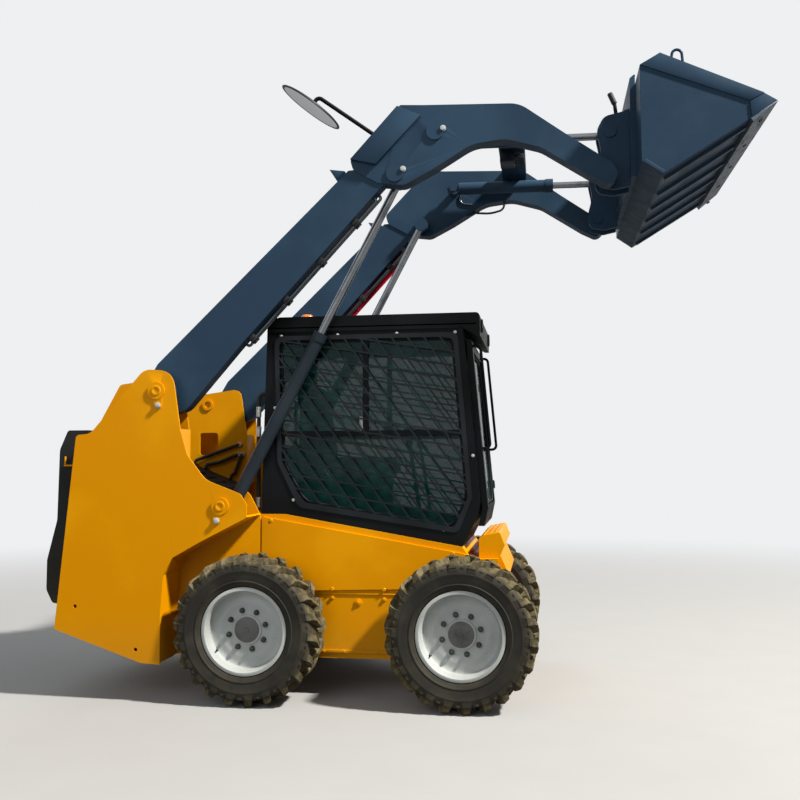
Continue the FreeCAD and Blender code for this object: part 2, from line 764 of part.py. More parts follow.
def amber_lamp():
    base = Part.makeCylinder(48, 18, V(150, 0, roof_top_z))
    dome = Part.makeCone(44, 34, 62, V(150, 0, roof_top_z + 18))
    return base.fuse(dome).removeSplitter()


# Cab door, in the plane of the cab's front
def door_axis():
    return V(cab_front_top_x - cab_front_x, 0, cab_top_z - cab_front_z).normalize()


def door_face_x(z):
    return front_wall_x(z) + door_gap + door_thickness


def door_axis_point(z):
    return V(door_face_x(z), door_half + 12, z)


def door_knuckles():
    return (1100.0, 1700.0)


def door_frame():
    low_back = door_face_x(1010) - door_thickness
    door = side_plate([
        (front_wall_x(door_top_z) + door_gap, door_top_z, 0), (door_face_x(door_top_z), door_top_z, 10),
        (door_face_x(1010), 1010, 60), (cab_front_x + 20, door_low_z, 0), (cab_front_x - 12, door_low_z, 0),
        (low_back, 1010, 40),
    ], -door_half, door_half)
    opening = box(1000, 1400, -door_half + door_post, door_half - door_post, 1020, door_top_z - door_post)
    door = door.cut(opening)
    for z in door_knuckles():
        pin = door_axis_point(z)
        low = pin + door_axis() * (seat_gap + 1)
        knuckle = rod(low, low + door_axis() * 38, 9)
        arm = box(pin.x - 13, pin.x - 1, door_half - 5, pin.y, z + 6, z + 34)
        bore = rod(pin - door_axis() * 8, pin + door_axis() * 60, 5 + running_gap)
        door = door.fuse([knuckle, arm]).cut(bore)
    return door.removeSplitter()


def door_glass():
    depth = 14
    half = door_half - door_post
    z0 = 1020
    z1 = door_top_z - door_post
    x0 = door_face_x(z0) - depth
    x1 = door_face_x(z1) - depth
    return side_plate([(x0, z0, 0), (x1, z1, 0), (x1 - glass_thickness, z1, 0), (x0 - glass_thickness, z0, 0)],
                      -half, half)


def door_guard():
    # a bar bent round the window, standing off the door on its two feet
    y = door_half - 30
    foot_z = (1330.0, 1890.0)
    bars = []
    out = V(door_axis().z, 0, -door_axis().x)
    for side in (-1, 1):
        low = V(door_face_x(foot_z[0]), side * y, foot_z[0])
        high = V(door_face_x(foot_z[1]), side * y, foot_z[1])
        bars.append(bent_tube([high, high + out * 42, low + out * 42, low], 8, 24))
    return Part.makeCompound(bars)


# Boom
def arm():
    beam = side_plate(from_anchors([
        (pivot, -95, 40, 100), (pivot, -30, 150, 60), (lift_rod, -255, 30, 0), (lift_rod, 60, 60, 0),
        (lift_rod, -60, -50, 0), (pivot, 438, 244, 0), (pivot, 130, -110, 90), (pivot, -60, -130, 110),
    ]), arm_inner_y + beam_inset, arm_outer_y - beam_inset)
    head = side_plate(from_anchors([
        (lift_rod, -243, 86, 30), (lift_rod, 29, 370, 14), (lift_rod, 152, 362, 20), (tilt_base, 442, 126, 160),
        (tilt_base, 676, -47, 200), (hinge, 20, 40, 60), (hinge, 60, -28, 46), (hinge, 0, -72, 40),
        (hinge, -91, -25, 60), (hinge, -343, 141, 160), (tilt_base, 367, -59, 200), (tilt_base, 195, -78, 200),
        (tilt_base, -12, -201, 260), (lift_rod, 48, -65, 70), (lift_rod, -91, -47, 40), (lift_rod, -227, 30, 40),
    ]), arm_inner_y, arm_outer_y)
    boss = cross_pin(pivot, 80, tower_inner_y + tower_plate + seat_gap, tower_outer_y - tower_plate - seat_gap)
    pivot_bore = cross_pin(pivot, pivot_pin_radius + running_gap, 0, tower_outer_y + 50)
    lift_boss = cross_pin(lift_rod, 48, lift_cylinder_y + eye_width / 2 + pivot_gap, arm_inner_y + 1)
    lift_head = cross_pin(lift_rod, pin_head_radius, arm_outer_y - 2, arm_outer_y + pin_head)
    tilt_pin = cross_pin(tilt_base, tilt_pin_radius, tilt_cylinder_y - eye_width / 2 - pin_head, arm_inner_y + 1)
    tilt_head = cross_pin(tilt_base, pin_head_radius, arm_outer_y - 2, arm_outer_y + pin_head)
    hinge_pin = cross_pin(hinge, hinge_pin_radius, coupler_inner_y - 8, arm_inner_y + 1)
    keepers = [keeper(lift_rod, 43, 20, arm_outer_y), keeper(tilt_base, 42, 13, arm_outer_y)]
    solid = join(beam, head, boss).cut(pivot_bore)
    return join(solid, lift_boss, lift_head, tilt_pin, tilt_head, hinge_pin, *keepers)


def boom_crossmember():
    return box(cross_x0, cross_x1, -arm_inner_y, arm_inner_y, cross_z0, cross_z0 + cross_height)


def pipe_line(drop):
    # the line just under the beam's lower edge, from the knee back to the pivot
    low = V(pivot_x + 438, 0, pivot_z + 244)
    high = V(lift_rod_x - 60, 0, lift_rod_z - 50)
    run = (high - low).normalize()
    down = V(run.z, 0, -run.x)
    return low + down * drop, high + down * drop, run, down


def boom_pipes():
    pipes = []
    # columns: distance from the middle plane, how far the pipe starts and stops along the beam
    for y, start, stop in ((562, 20, 60), (592, 60, 90)):
        low, high, run, down = pipe_line(pipe_drop)
        first = low + run * start
        last = high - run * stop
        points = [
            V(first.x, y, first.z) - down * pipe_drop, V(first.x, y, first.z),
            V(last.x, y, last.z), V(last.x, y, last.z) - down * pipe_drop,
        ]
        pipes.append(bent_tube(points, pipe_radius, 14))
    return both_sides(Part.makeCompound(pipes))


def safety_brace():
    low, high, run, down = pipe_line(0)
    start = high - run * 120
    end = low + run * 260
    brace = side_plate([
        (start.x, start.z, 0), (end.x, end.z, 0), (end.x + down.x * 52, end.z + down.z * 52, 0),
        (start.x + down.x * 52, start.z + down.z * 52, 0),
    ], 606, 622)
    return brace


def mirror_post():
    foot = V(lift_rod_x - 107, 0, lift_rod_z + 222)
    y = (arm_inner_y + arm_outer_y) / 2
    # the arm's upper left face, which the foot plate lies on
    slope = V(29 + 243, 0, 370 - 86).normalize()
    face = V(lift_rod_x - 243, 0, lift_rod_z + 86)
    near = face + slope * (foot - face).dot(slope)
    out = V(-slope.z, 0, slope.x)
    plate = side_plate([
        (near.x - slope.x * 34, near.z - slope.z * 34, 0), (near.x + slope.x * 34, near.z + slope.z * 34, 0),
        (near.x + slope.x * 34 + out.x * 8, near.z + slope.z * 34 + out.z * 8, 0),
        (near.x - slope.x * 34 + out.x * 8, near.z - slope.z * 34 + out.z * 8, 0),
    ], -y - 26, -y + 26)
    start = near + out * 4
    middle, normal = mirror_place()
    back = middle + normal * mirror_depth
    path = [V(start.x, -y, start.z), back + normal * 46, back]
    post = bent_tube(path, mirror_post_radius, 24)
    return join(plate, post)


def mirror_place():
    # the middle of the mirror's face, and the way its back points
    near_end = V(lift_rod_x - 622, -mirror_y, lift_rod_z + 500)
    far_end = V(lift_rod_x - 299, -mirror_y, lift_rod_z + 269)
    across = (far_end - near_end).normalize()
    return (near_end + far_end) / 2, V(-across.z, 0, across.x)


def mirror_disc():
    middle, normal = mirror_place()
    return Part.makeCone(mirror_radius, mirror_radius * 0.55, mirror_depth, middle, normal)


# Cylinders, each made on +Z from its base pin and then turned into line
def turned(shape, start, end, y):
    lean = math.degrees(math.atan2(end[0] - start[0], end[1] - start[1]))
    shape = shape.copy()
    shape.rotate(V(0, 0, 0), V(0, 1, 0), lean)
    return shape.translated(V(start[0], y, start[1]))


def eye(radius, height, bore):
    ring = Part.makeCylinder(radius, eye_width, V(0, -eye_width / 2, height), V(0, 1, 0))
    if bore > 0:
        ring = ring.cut(Part.makeCylinder(bore, eye_width, V(0, -eye_width / 2, height), V(0, 1, 0)))
    return ring


def barrel(radius, bore, shaft, length, pin):
    body = Part.makeCylinder(radius, length - eye_radius + 8, V(0, 0, eye_radius - 8))
    gland = Part.makeCylinder(radius + gland_step, gland_length, V(0, 0, length - gland_length))
    whole = body.fuse([gland, eye(eye_radius, 0, 0)])
    room = Part.makeCylinder(bore, length - gland_length - 60, V(0, 0, 60))
    hole = Part.makeCylinder(shaft + running_gap, length, V(0, 0, 61))
    pin_hole = Part.makeCylinder(pin + running_gap, 200, V(0, -100, 0), V(0, 1, 0))
    return whole.cut(room.fuse(hole)).cut(pin_hole).removeSplitter()


def shaft(radius, inside, length):
    return Part.makeCylinder(radius, length - inside, V(0, 0, inside)).fuse(eye(eye_radius, length, 0)).removeSplitter()


def cylinders():
    # columns: name, base, rod end, place across, barrel, bore, shaft, barrel length, shaft start, base pin
    table = [
        ("lift", lift_base, lift_rod, lift_cylinder_y, lift_barrel_radius, lift_bore_radius, lift_shaft_radius,
         lift_barrel_length, lift_shaft_inside, lift_pin_radius),
        ("tilt", tilt_base, tilt_rod, tilt_cylinder_y, tilt_barrel_radius, tilt_bore_radius, tilt_shaft_radius,
         tilt_barrel_length, tilt_shaft_inside, tilt_pin_radius),
    ]
    for name, start, end, y, radius, bore, thin, length, inside, pin in table:
        reach = math.hypot(end[0] - start[0], end[1] - start[1])
        left_barrel = turned(barrel(radius, bore, thin, length, pin), start, end, y)
        left_shaft = turned(shaft(thin, inside, reach), start, end, y)
        nodes[name + "_barrel_left"] = left_barrel
        nodes[name + "_barrel_right"] = mirrored(left_barrel)
        nodes[name + "_rod_left"] = left_shaft
        nodes[name + "_rod_right"] = mirrored(left_shaft)


# Coupler and bucket
def coupler():
    outline = from_anchors([
        (tilt_rod, -68, 10, 60), (tilt_rod, -30, 82, 60), (tilt_rod, 75, 104, 20), (tilt_rod, 102, 118, 0),
        (hinge, 119, -50, 0), (hinge, 40, -66, 40), (hinge, -50, -50, 50), (hinge, -60, 30, 60),
        (hinge, -30, 144, 100),
    ])
    solids = []
    for y0 in (coupler_outer_y - coupler_ear, coupler_inner_y):
        solids.append(side_plate(outline, y0, y0 + coupler_ear))
    ears = join(solids[0], solids[1], cross_pin(tilt_rod, 34, coupler_outer_y - 2, coupler_outer_y + pin_head))
    ears = ears.cut(cross_pin(hinge, hinge_pin_radius + running_gap, 0, 600))
    plate_x = bucket_back_x - coupler_plate
    back = box(plate_x, bucket_back_x, -coupler_half, coupler_half, hinge_z - 18, hinge_z + 470)
    hook = side_plate([
        (plate_x, hinge_z + 465, 0), (plate_x, hinge_z + 500, 10), (bucket_back_x + 6, hinge_z + 530, 6),
        (bucket_back_x, hinge_z + 505, 0), (bucket_back_x, hinge_z + 465, 0),
    ], -coupler_half, coupler_half)
    window = box(bucket_back_x - 50, bucket_back_x, coupler_inner_y + coupler_ear + 4,
                 coupler_outer_y - coupler_ear - 4, tilt_rod_z - 70, tilt_rod_z + 115)
    back = back.cut(Part.makeCompound([window, mirrored(window)]))
    web = box(plate_x - 32, plate_x + 2, -coupler_inner_y, coupler_inner_y, hinge_z + 330, hinge_z + 350)
    return join(back, ears, mirrored(ears), hook, web)


def coupler_levers():
    y = coupler_inner_y - 60
    points = [
        V(bucket_back_x - coupler_plate, y, hinge_z + 385), V(bucket_back_x - 75, y, hinge_z + 385),
        V(bucket_back_x - 85, y, hinge_z + 470), V(bucket_back_x - 110, y, hinge_z + 530),
    ]
    lever = bent_tube(points, 10, 12)
    return both_sides(lever)


def bucket_line():
    # the outer line of the bent sheet, from the mouth's upper edge round the heel to the blade
    return [
        (bucket_back_x + 98, hinge_z + 524), (bucket_back_x, hinge_z + 470), (bucket_back_x, hinge_z - 18),
        (bucket_heel_x, bucket_heel_z), (floor_end().x, floor_end().z),
    ]


def floor_run():
    return V(bucket_tip_x - bucket_heel_x, 0, bucket_tip_z - bucket_heel_z).normalize()


def floor_end():
    return V(bucket_tip_x, 0, bucket_tip_z) - floor_run() * floor_stop


def bucket_shell():
    line = bucket_line()
    sheet = side_strip(line, bucket_wall, -bucket_half, bucket_half)
    cheek = side_plate([(x, z, 0) for x, z in line] + [
        (bucket_tip_x - 63, bucket_tip_z + 43, 0),
    ], bucket_half - bucket_wall, bucket_half)
    run = floor_run()
    ribs = []
    for i in range(bucket_ribs):
        y = (2.0 * i / (bucket_ribs - 1) - 1) * (bucket_half - 100)
        start = V(bucket_heel_x, 0, bucket_heel_z) + run * 20
        end = floor_end() - run * 60
        down = V(run.z, 0, -run.x)
        rib = side_plate([
            (start.x, start.z, 0), (end.x, end.z, 0), (end.x + down.x * rib_height, end.z + down.z * rib_height, 0),
            (start.x + down.x * rib_height, start.z + down.z * rib_height, 0),
        ], y - rib_width / 2, y + rib_width / 2)
        ribs.append(rib)
    eye_x = bucket_back_x + 98
    eye_z = hinge_z + 524
    lifting = side_plate([
        (eye_x - 40, eye_z - 14, 0), (eye_x - 40, eye_z + 26, 20), (eye_x + 12, eye_z + 36, 20),
        (eye_x + 12, eye_z - 5, 0),
    ], -8, 8)
    lifting = lifting.cut(cross_pin((eye_x - 14, eye_z + 10), 10, -20, 20))
    return join(sheet, cheek, mirrored(cheek), lifting, *ribs)


def bucket_edge():
    run = floor_run()
    down = V(run.z, 0, -run.x)
    tip = V(bucket_tip_x, 0, bucket_tip_z)
    back = tip - run * blade_length
    return side_plate([
        (tip.x, tip.z, 0), (back.x, back.z, 0), (back.x + down.x * blade_thickness, back.z + down.z * blade_thickness, 0),
        (tip.x + down.x * 4 - run.x * 20, tip.z + down.z * 4 - run.z * 20, 0),
    ], -bucket_half, bucket_half)


def build():
    wheels()
    nodes["main_frame"] = main_frame()
    nodes["side_panels"] = side_panels()
    nodes["front_step"] = front_step()
    nodes["tower_left"] = tower()
    nodes["tower_right"] = mirrored(tower())
    nodes["chassis_hoses"] = chassis_hoses()
    nodes["engine_block"] = engine_block()
    nodes["engine_hood"] = engine_hood()
    nodes["rear_door"] = rear_door()
    nodes["tail_lamps"] = tail_lamps()
    nodes["cab_frame"] = cab_frame()
    nodes["cab_glass"] = cab_glass()
    nodes["window_guards"] = window_guards()
    nodes["seat_cushion"] = seat_cushion()
    nodes["seat_back"] = seat_back()
    nodes["control_levers"] = control_levers()
    nodes["cab_lamps"] = cab_lamps()
    nodes["amber_lamp"] = amber_lamp()
    nodes["door_frame"] = door_frame()
    nodes["door_glass"] = door_glass()
    nodes["door_guard"] = door_guard()
    nodes["arm_left"] = arm()
    nodes["arm_right"] = mirrored(arm())
    nodes["boom_crossmember"] = boom_crossmember()
    nodes["boom_pipes"] = boom_pipes()
    nodes["safety_brace"] = safety_brace()
    nodes["mirror_post"] = mirror_post()
    nodes["mirror_disc"] = mirror_disc()
    cylinders()
    nodes["coupler"] = coupler()
    nodes["coupler_levers"] = coupler_levers()
    nodes["bucket_shell"] = bucket_shell()
    nodes["bucket_edge"] = bucket_edge()


build()
os.makedirs("parts", exist_ok=True)
for name, shape in nodes.items():
    placed = shape.translated(V(-origin_x, 0, 0))
    placed.exportStep("parts/" + name + ".step")
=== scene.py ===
import json
import math
import bpy
import bmesh
from mathutils import Matrix, Vector

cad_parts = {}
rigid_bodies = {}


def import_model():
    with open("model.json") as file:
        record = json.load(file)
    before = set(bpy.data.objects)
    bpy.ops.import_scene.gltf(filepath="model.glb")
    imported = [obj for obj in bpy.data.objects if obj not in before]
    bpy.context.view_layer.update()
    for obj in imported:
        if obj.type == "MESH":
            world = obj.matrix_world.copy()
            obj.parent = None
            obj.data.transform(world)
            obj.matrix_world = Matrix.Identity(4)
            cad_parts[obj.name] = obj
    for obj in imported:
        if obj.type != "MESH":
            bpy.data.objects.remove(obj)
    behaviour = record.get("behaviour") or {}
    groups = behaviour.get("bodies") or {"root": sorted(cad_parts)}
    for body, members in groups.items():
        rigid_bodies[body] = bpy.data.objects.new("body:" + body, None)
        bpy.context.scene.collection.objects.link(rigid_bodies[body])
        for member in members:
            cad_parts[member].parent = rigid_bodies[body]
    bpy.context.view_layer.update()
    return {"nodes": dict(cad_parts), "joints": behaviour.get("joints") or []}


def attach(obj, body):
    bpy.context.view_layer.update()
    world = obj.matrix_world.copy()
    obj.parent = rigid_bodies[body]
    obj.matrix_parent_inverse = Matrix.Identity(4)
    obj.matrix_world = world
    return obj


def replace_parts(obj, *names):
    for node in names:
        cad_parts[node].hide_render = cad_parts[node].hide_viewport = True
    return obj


for thing in list(bpy.data.objects):
    bpy.data.objects.remove(thing)
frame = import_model()
print("loaded", len(frame["nodes"]), "nodes")


def jointPlace(name):
    return Vector(next(joint["pos_m"] for joint in frame["joints"] if joint["name"] == name))


rearAxle = jointPlace("roll_rear_right")
axleX = rearAxle.x        # lengths below are millimetres from the rear axle, on the ground
wheelBase = (jointPlace("roll_front_right").x - axleX) * 1000
wheelY = abs(rearAxle.y) * 1000
wheelZ = rearAxle.z * 1000


class Wire:
    # a node's output that takes part in sums
    def __init__(self, finish, socket):
        self.finish = finish
        self.socket = socket

    def maths(self, how, first, second):
        return self.finish.add("ShaderNodeMath", {"operation": how}, {0: first, 1: second})

    def __add__(self, other):
        return self.maths("ADD", self, other)

    def __mul__(self, other):
        return self.maths("MULTIPLY", self, other)

    def __sub__(self, other):
        return self.maths("SUBTRACT", self, other)

    def __rsub__(self, other):
        return self.maths("SUBTRACT", other, self)

    __radd__ = __add__
    __rmul__ = __mul__


class Finish:
    # one material
    def __init__(self, name, **sockets):
        self.material = bpy.data.materials.new(name)
        self.material.use_nodes = True
        self.tree = self.material.node_tree
        self.shader = self.tree.nodes["Principled BSDF"]
        self.set(**sockets)

    def feed(self, socket, value):
        if isinstance(value, Wire):
            self.tree.links.new(value.socket, socket)
        else:
            socket.default_value = value

    def add(self, kind, settings, sockets, out=0):
        node = self.tree.nodes.new(kind)
        for key, value in settings.items():
            setattr(node, key, value)
        for key, value in sockets.items():
            self.feed(node.inputs[key], value)
        return Wire(self, node.outputs[out])

    def place(self):
        return self.add("ShaderNodeTexCoord", {}, {}, "Object")

    def along(self, axis):
        return self.add("ShaderNodeSeparateXYZ", {}, {0: self.place()}, axis)

    def noise(self, scale, detail=3.0, roughness=0.5, stretch=(1, 1, 1)):
        spot = self.add("ShaderNodeMapping", {}, {"Vector": self.place(), "Scale": stretch})
        return self.add("ShaderNodeTexNoise", {}, {"Vector": spot, "Scale": scale, "Detail": detail,
                                                   "Roughness": roughness})

    def ramp(self, factor, low, high, fromValue=0.0, toValue=1.0):
        return self.add("ShaderNodeMapRange", {"clamp": True, "interpolation_type": "SMOOTHSTEP"},
                        {"Value": factor, "From Min": low, "From Max": high, "To Min": fromValue, "To Max": toValue})

    def blend(self, factor, first, second):
        return self.add("ShaderNodeMix", {"data_type": "RGBA"}, {0: factor, 6: first, 7: second}, 2)

    def shades(self, factor, low, high, first, second):
        # two screen colours in soft patches
        return self.blend(self.ramp(factor, low, high), tint(*first), tint(*second))

    def bump(self, height, strength, distance):
        return self.add("ShaderNodeBump", {}, {"Height": height, "Strength": strength, "Distance": distance})

    def vector(self, how, first, second):
        return self.add("ShaderNodeVectorMath", {"operation": how}, {0: first, 1: second})

    def length(self, vector):
        return self.add("ShaderNodeVectorMath", {"operation": "LENGTH"}, {0: vector}, "Value")

    def bands(self, direction, scale, distortion=0.0):
        return self.add("ShaderNodeTexWave", {"wave_type": "BANDS", "bands_direction": direction},
                        {"Vector": self.place(), "Scale": scale, "Distortion": distortion})

    def set(self, **sockets):
        for key, value in sockets.items():
            self.feed(self.shader.inputs[key.replace("_", " ")], value)


def tint(red, green, blue, alpha=1.0):
    # a colour as it reads on a screen, 0 to 255
    def linear(level):
        level = level / 255
        return level / 12.92 if level <= 0.04045 else ((level + 0.055) / 1.055) ** 2.4
    return (linear(red), linear(green), linear(blue), alpha)


# what a paint has unless it says otherwise
paintBase = {"dirt": (96, 86, 62), "dirtTop": 0.9, "dirtMost": 0.0, "gloss": 0.34, "coat": 0.06, "peel": 900}
paintLook = {
    "yellow": {"colour": (212, 139, 0), "faded": (220, 149, 3), "dirt": (150, 116, 60), "dirtTop": 0.5,
               "dirtMost": 0.26, "coat": 0.03, "shine": 0.06},
    "slate": {"colour": (38, 58, 77), "faded": (45, 67, 87), "gloss": 0.42, "coat": 0.03, "peel": 800, "shine": 0.1},
    "barrel": {"colour": (28, 37, 45), "faded": (36, 46, 54), "gloss": 0.4, "peel": 800, "shine": 0.2},
    "cab": {"colour": (6, 8, 10), "faded": (12, 16, 19), "dirt": (58, 54, 47), "dirtTop": 1.15, "dirtMost": 0.14,
            "gloss": 0.46, "coat": 0.03, "peel": 1000, "shine": 0.14},
    "guard": {"colour": (15, 19, 22), "faded": (26, 32, 36), "dirt": (64, 60, 52), "dirtMost": 0.12, "gloss": 0.36,
              "peel": 1000, "shine": 0.25},
    "tail": {"colour": (27, 29, 29), "faded": (37, 39, 38), "dirtTop": 0.95, "dirtMost": 0.4, "gloss": 0.48,
             "coat": 0.03, "shine": 0.16},
    "red": {"colour": (206, 8, 40), "faded": (214, 20, 52), "shine": 0.18},
    "silver": {"colour": (166, 171, 170), "faded": (184, 188, 186), "dirt": (112, 103, 86), "dirtMost": 0.24,
               "gloss": 0.36, "peel": 1100, "shine": 0.3},
}


def paint(name):
    look = {**paintBase, **paintLook[name]}
    finish = Finish(name + "Paint")
    patches = finish.noise(2.3, 4)
    cloudy = finish.noise(11, 5, 0.6)
    fine = finish.noise(140, 3)
    colour = finish.shades(patches, 0.42, 0.66, look["colour"], look["faded"])
    streaks = finish.noise(6, 5, 0.65, (9, 9, 0.7))
    height = finish.along("Z")
    low = finish.ramp(height + (cloudy - 0.5) * 0.35, look["dirtTop"] * 0.35, look["dirtTop"], 1, 0)
    spatter = finish.ramp(fine * 0.5 + cloudy * 0.5, 0.47, 0.6)
    dirt = low * (spatter * 0.55 + 0.45) * look["dirtMost"] + finish.ramp(streaks, 0.62, 0.8) * look["dirtMost"] * 0.35
    finish.set(Base_Color=finish.blend(dirt, colour, tint(*look["dirt"])),
               Roughness=finish.ramp(cloudy, 0.3, 0.75, look["gloss"] - 0.06, look["gloss"] + 0.1) + dirt * 0.5,
               Coat_Weight=(1 - dirt) * look["coat"], Coat_Roughness=0.12, Specular_IOR_Level=look["shine"])
    peel = finish.noise(look["peel"], 2)
    finish.set(Normal=finish.bump(peel * 0.5 + fine * 0.35 + dirt, 0.22, 0.0004))
    return finish.material


def bareSteel(name, bright, dark, rough, metallic=1.0, stretch=(1, 1, 1)):
    finish = Finish(name, Metallic=metallic)
    grain = finish.noise(38, 5, 0.65, stretch)
    stain = finish.noise(9, 5, 0.6)
    mark = finish.ramp(stain, 0.45, 0.7)
    finish.set(Base_Color=finish.blend(mark, tint(*bright), tint(*dark)),
               Roughness=finish.ramp(grain, 0.3, 0.7, rough - 0.05, rough + 0.12) + mark * 0.12,
               Normal=finish.bump(grain, 0.15, 0.0004))
    return finish.material


def edgeSteel():
    finish = Finish("groundSteel")
    scuff = finish.noise(30, 6, 0.7, (1, 5, 1))
    rust = finish.ramp(finish.noise(14, 6, 0.65), 0.5, 0.68)
    finish.set(Base_Color=finish.blend(rust, tint(82, 95, 107), tint(60, 64, 66)), Metallic=0.4 - rust * 0.3,
               Roughness=finish.ramp(scuff, 0.3, 0.7, 0.36, 0.55) + rust * 0.25,
               Normal=finish.bump(scuff, 0.35, 0.0006))
    return finish.material


def rubber(name, colour, rough, ribs):
    finish = Finish(name, Specular_IOR_Level=0.22)
    mottle = finish.noise(20, 4)
    grit = finish.noise(600, 2)
    colour = finish.shades(mottle, 0.35, 0.7, colour, [level + 12 for level in colour])
    height = grit * 0.5
    if ribs:
        height = height + finish.bands("Z", ribs, 0.2)
    finish.set(Base_Color=colour, Roughness=finish.ramp(mottle, 0.3, 0.7, rough - 0.05, rough + 0.08),
               Normal=finish.bump(height, 0.4, 0.0006))
    return finish.material


tyreDust = {"tread": (0.345, 0.372), "shoulder": (0.30, 0.35), "foot": (0.262, 0.232), "sand": (78, 70, 48),
            "paleSand": (106, 96, 70), "bare": (38, 37, 33), "paleBare": (54, 51, 44)}


def tyreRubber(name, centre):
    # dust lies on the tread, on the shoulder and at the foot of the sidewall, by the distance from the axle
    look = tyreDust
    finish = Finish(name, Specular_IOR_Level=0.2)
    offset = finish.vector("SUBTRACT", finish.place(), centre)
    radius = finish.length(finish.vector("MULTIPLY", offset, (1, 0, 1)))
    clods = finish.noise(26, 6, 0.65)
    grit = finish.noise(420, 3, 0.6)
    smears = finish.noise(7, 4)
    tread = finish.ramp(radius + (clods - 0.5) * 0.03, *look["tread"])
    shoulder = finish.ramp(radius + (smears - 0.5) * 0.03, *look["shoulder"]) * 0.35
    foot = finish.ramp(radius + (clods - 0.5) * 0.02, *look["foot"]) * 0.25
    dust = tread * finish.ramp(clods * 0.7 + grit * 0.3, 0.34, 0.6, 0.35, 0.9) + (shoulder + foot) * clods
    sandy = finish.shades(clods, 0.4, 0.65, look["sand"], look["paleSand"])
    bare = finish.shades(smears, 0.4, 0.7, look["bare"], look["paleBare"])
    finish.set(Base_Color=finish.blend(dust, bare, sandy), Roughness=dust * 0.28 + 0.62,
               Normal=finish.bump(grit * 0.6 + clods, 0.5, 0.0012))
    return finish.material


def vinyl():
    finish = Finish("seatVinyl")
    grain = finish.add("ShaderNodeTexVoronoi", {"feature": "DISTANCE_TO_EDGE"},
                       {"Vector": finish.place(), "Scale": 420.0})
    creases = finish.noise(40, 5, 0.6)
    finish.set(Base_Color=finish.shades(creases, 0.4, 0.7, (27, 28, 30), (38, 39, 41)),
               Roughness=finish.ramp(creases, 0.3, 0.7, 0.42, 0.58),
               Normal=finish.bump(finish.ramp(grain, 0.0, 0.12) * 0.6 + creases * 0.6, 0.4, 0.0008))
    return finish.material


def glazing():
    finish = Finish("tintedGlass", IOR=1.5, Specular_IOR_Level=0.3)
    film = finish.ramp(finish.noise(5, 5, 0.6), 0.4, 0.7)
    finish.set(Base_Color=finish.blend(film, tint(10, 54, 51), tint(20, 72, 68)), Roughness=film * 0.06 + 0.04,
               Alpha=film * 0.06 + 0.56)
    return finish.material


def lens(name, colour, alpha):
    finish = Finish(name, Coat_Weight=1.0)
    rings = finish.bands("Y", 45)
    finish.set(Base_Color=finish.blend(rings, tint(*colour), tint(*[min(255, level + 25) for level in colour])),
               Roughness=rings * 0.08 + 0.12, Alpha=alpha, Normal=finish.bump(rings, 0.5, 0.001))
    return finish.material


def darkPaintedMirror():
    finish = Finish("darkPaintedMirror", Metallic=1.0)
    haze = finish.noise(8, 4)
    # the mirror's colour is kept very dark: painted shade standing in for the dark surroundings seen in it, in place
    # of a bright mirror's own colour
    finish.set(Base_Color=finish.shades(haze, 0.4, 0.7, (52, 58, 64), (40, 46, 52)), Roughness=haze * 0.06)
    return finish.material


yellowPaint = paint("yellow")
slatePaint = paint("slate")
barrelPaint = paint("barrel")
cabPaint = paint("cab")
guardPaint = paint("guard")
tailPaint = paint("tail")
redPaint = paint("red")
silverPaint = paint("silver")
chrome = bareSteel("hardChrome", (150, 155, 160), (116, 122, 128), 0.18, stretch=(6, 6, 0.6))
nutSteel = bareSteel("nutSteel", (88, 90, 90), (62, 60, 56), 0.4)
zinc = bareSteel("zincPlate", (190, 192, 188), (140, 138, 130), 0.3, 0.45)
pipeSteel = bareSteel("pipeSteel", (104, 112, 118), (70, 76, 80), 0.3)
hubSteel = bareSteel("hubSteel", (104, 104, 102), (80, 78, 74), 0.5, 0.2)
groundSteel = edgeSteel()
hoseRubber = rubber("hoseRubber", (40, 38, 34), 0.55, 90)
sealRubber = rubber("sealRubber", (24, 25, 26), 0.7, 0)
gripRubber = rubber("gripRubber", (34, 34, 35), 0.55, 60)
mouldedPlastic = rubber("mouldedPlastic", (32, 33, 35), 0.5, 0)
seatVinyl = vinyl()
glass = glazing()
clearLens = lens("clearLens", (208, 214, 214), 0.85)
amberLens = lens("amberLens", (226, 118, 22), 0.93)
redLens = lens("redLens", (176, 18, 20), 0.95)
mirrorFace = darkPaintedMirror()
print("finishes ready")


def putObject(name, data):
    piece = bpy.data.objects.new(name, data)
    bpy.context.scene.collection.objects.link(piece)
    return piece


def meshObject(name, mesh, finish=None, angle=32):
    # smooth, with sharp edges where the faces meet at more than the angle
    data = bpy.data.meshes.new(name)
    mesh.to_mesh(data)
    mesh.free()
    if finish:
        data.materials.append(finish)
        data.shade_smooth()
        data.set_sharp_from_angle(angle=math.radians(angle))
    return putObject(name, data)


# mesh helpers: lengths in millimetres, from the rear axle
forward, outward, upward = (1, 0, 0), (0, 1, 0), (0, 0, 1)


def turnTo(direction):
    return Vector(direction).to_track_quat("Z", "Y").to_matrix().to_4x4()


def finishPiece(name, mesh, finish, body, angle=32):
    bmesh.ops.transform(mesh, matrix=Matrix.Translation((axleX, 0, 0)) @ Matrix.Scale(0.001, 4), verts=mesh.verts)
    piece = meshObject(name, mesh, finish, angle)
    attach(piece, body)
    return piece


def finishPair(name, part, finish, body, slotName, angle=32, middle=None):
    # the same part on both sides of the machine, and anything in the middle
    mesh = bmesh.new() if middle is None else middle
    other = part.copy()
    put(mesh, part)
    put(mesh, other, Matrix.Diagonal((1, -1, 1, 1)))
    return finishPiece(name, mesh, finish, body, angle)


def put(mesh, part, matrix=None):
    # one more shape into the piece
    if matrix is not None:
        bmesh.ops.transform(part, matrix=matrix, verts=part.verts)
        if matrix.determinant() < 0:
            bmesh.ops.reverse_faces(part, faces=part.faces)
    data = bpy.data.meshes.new("part")
    part.to_mesh(data)
    part.free()
    mesh.from_mesh(data)
    bpy.data.meshes.remove(data)


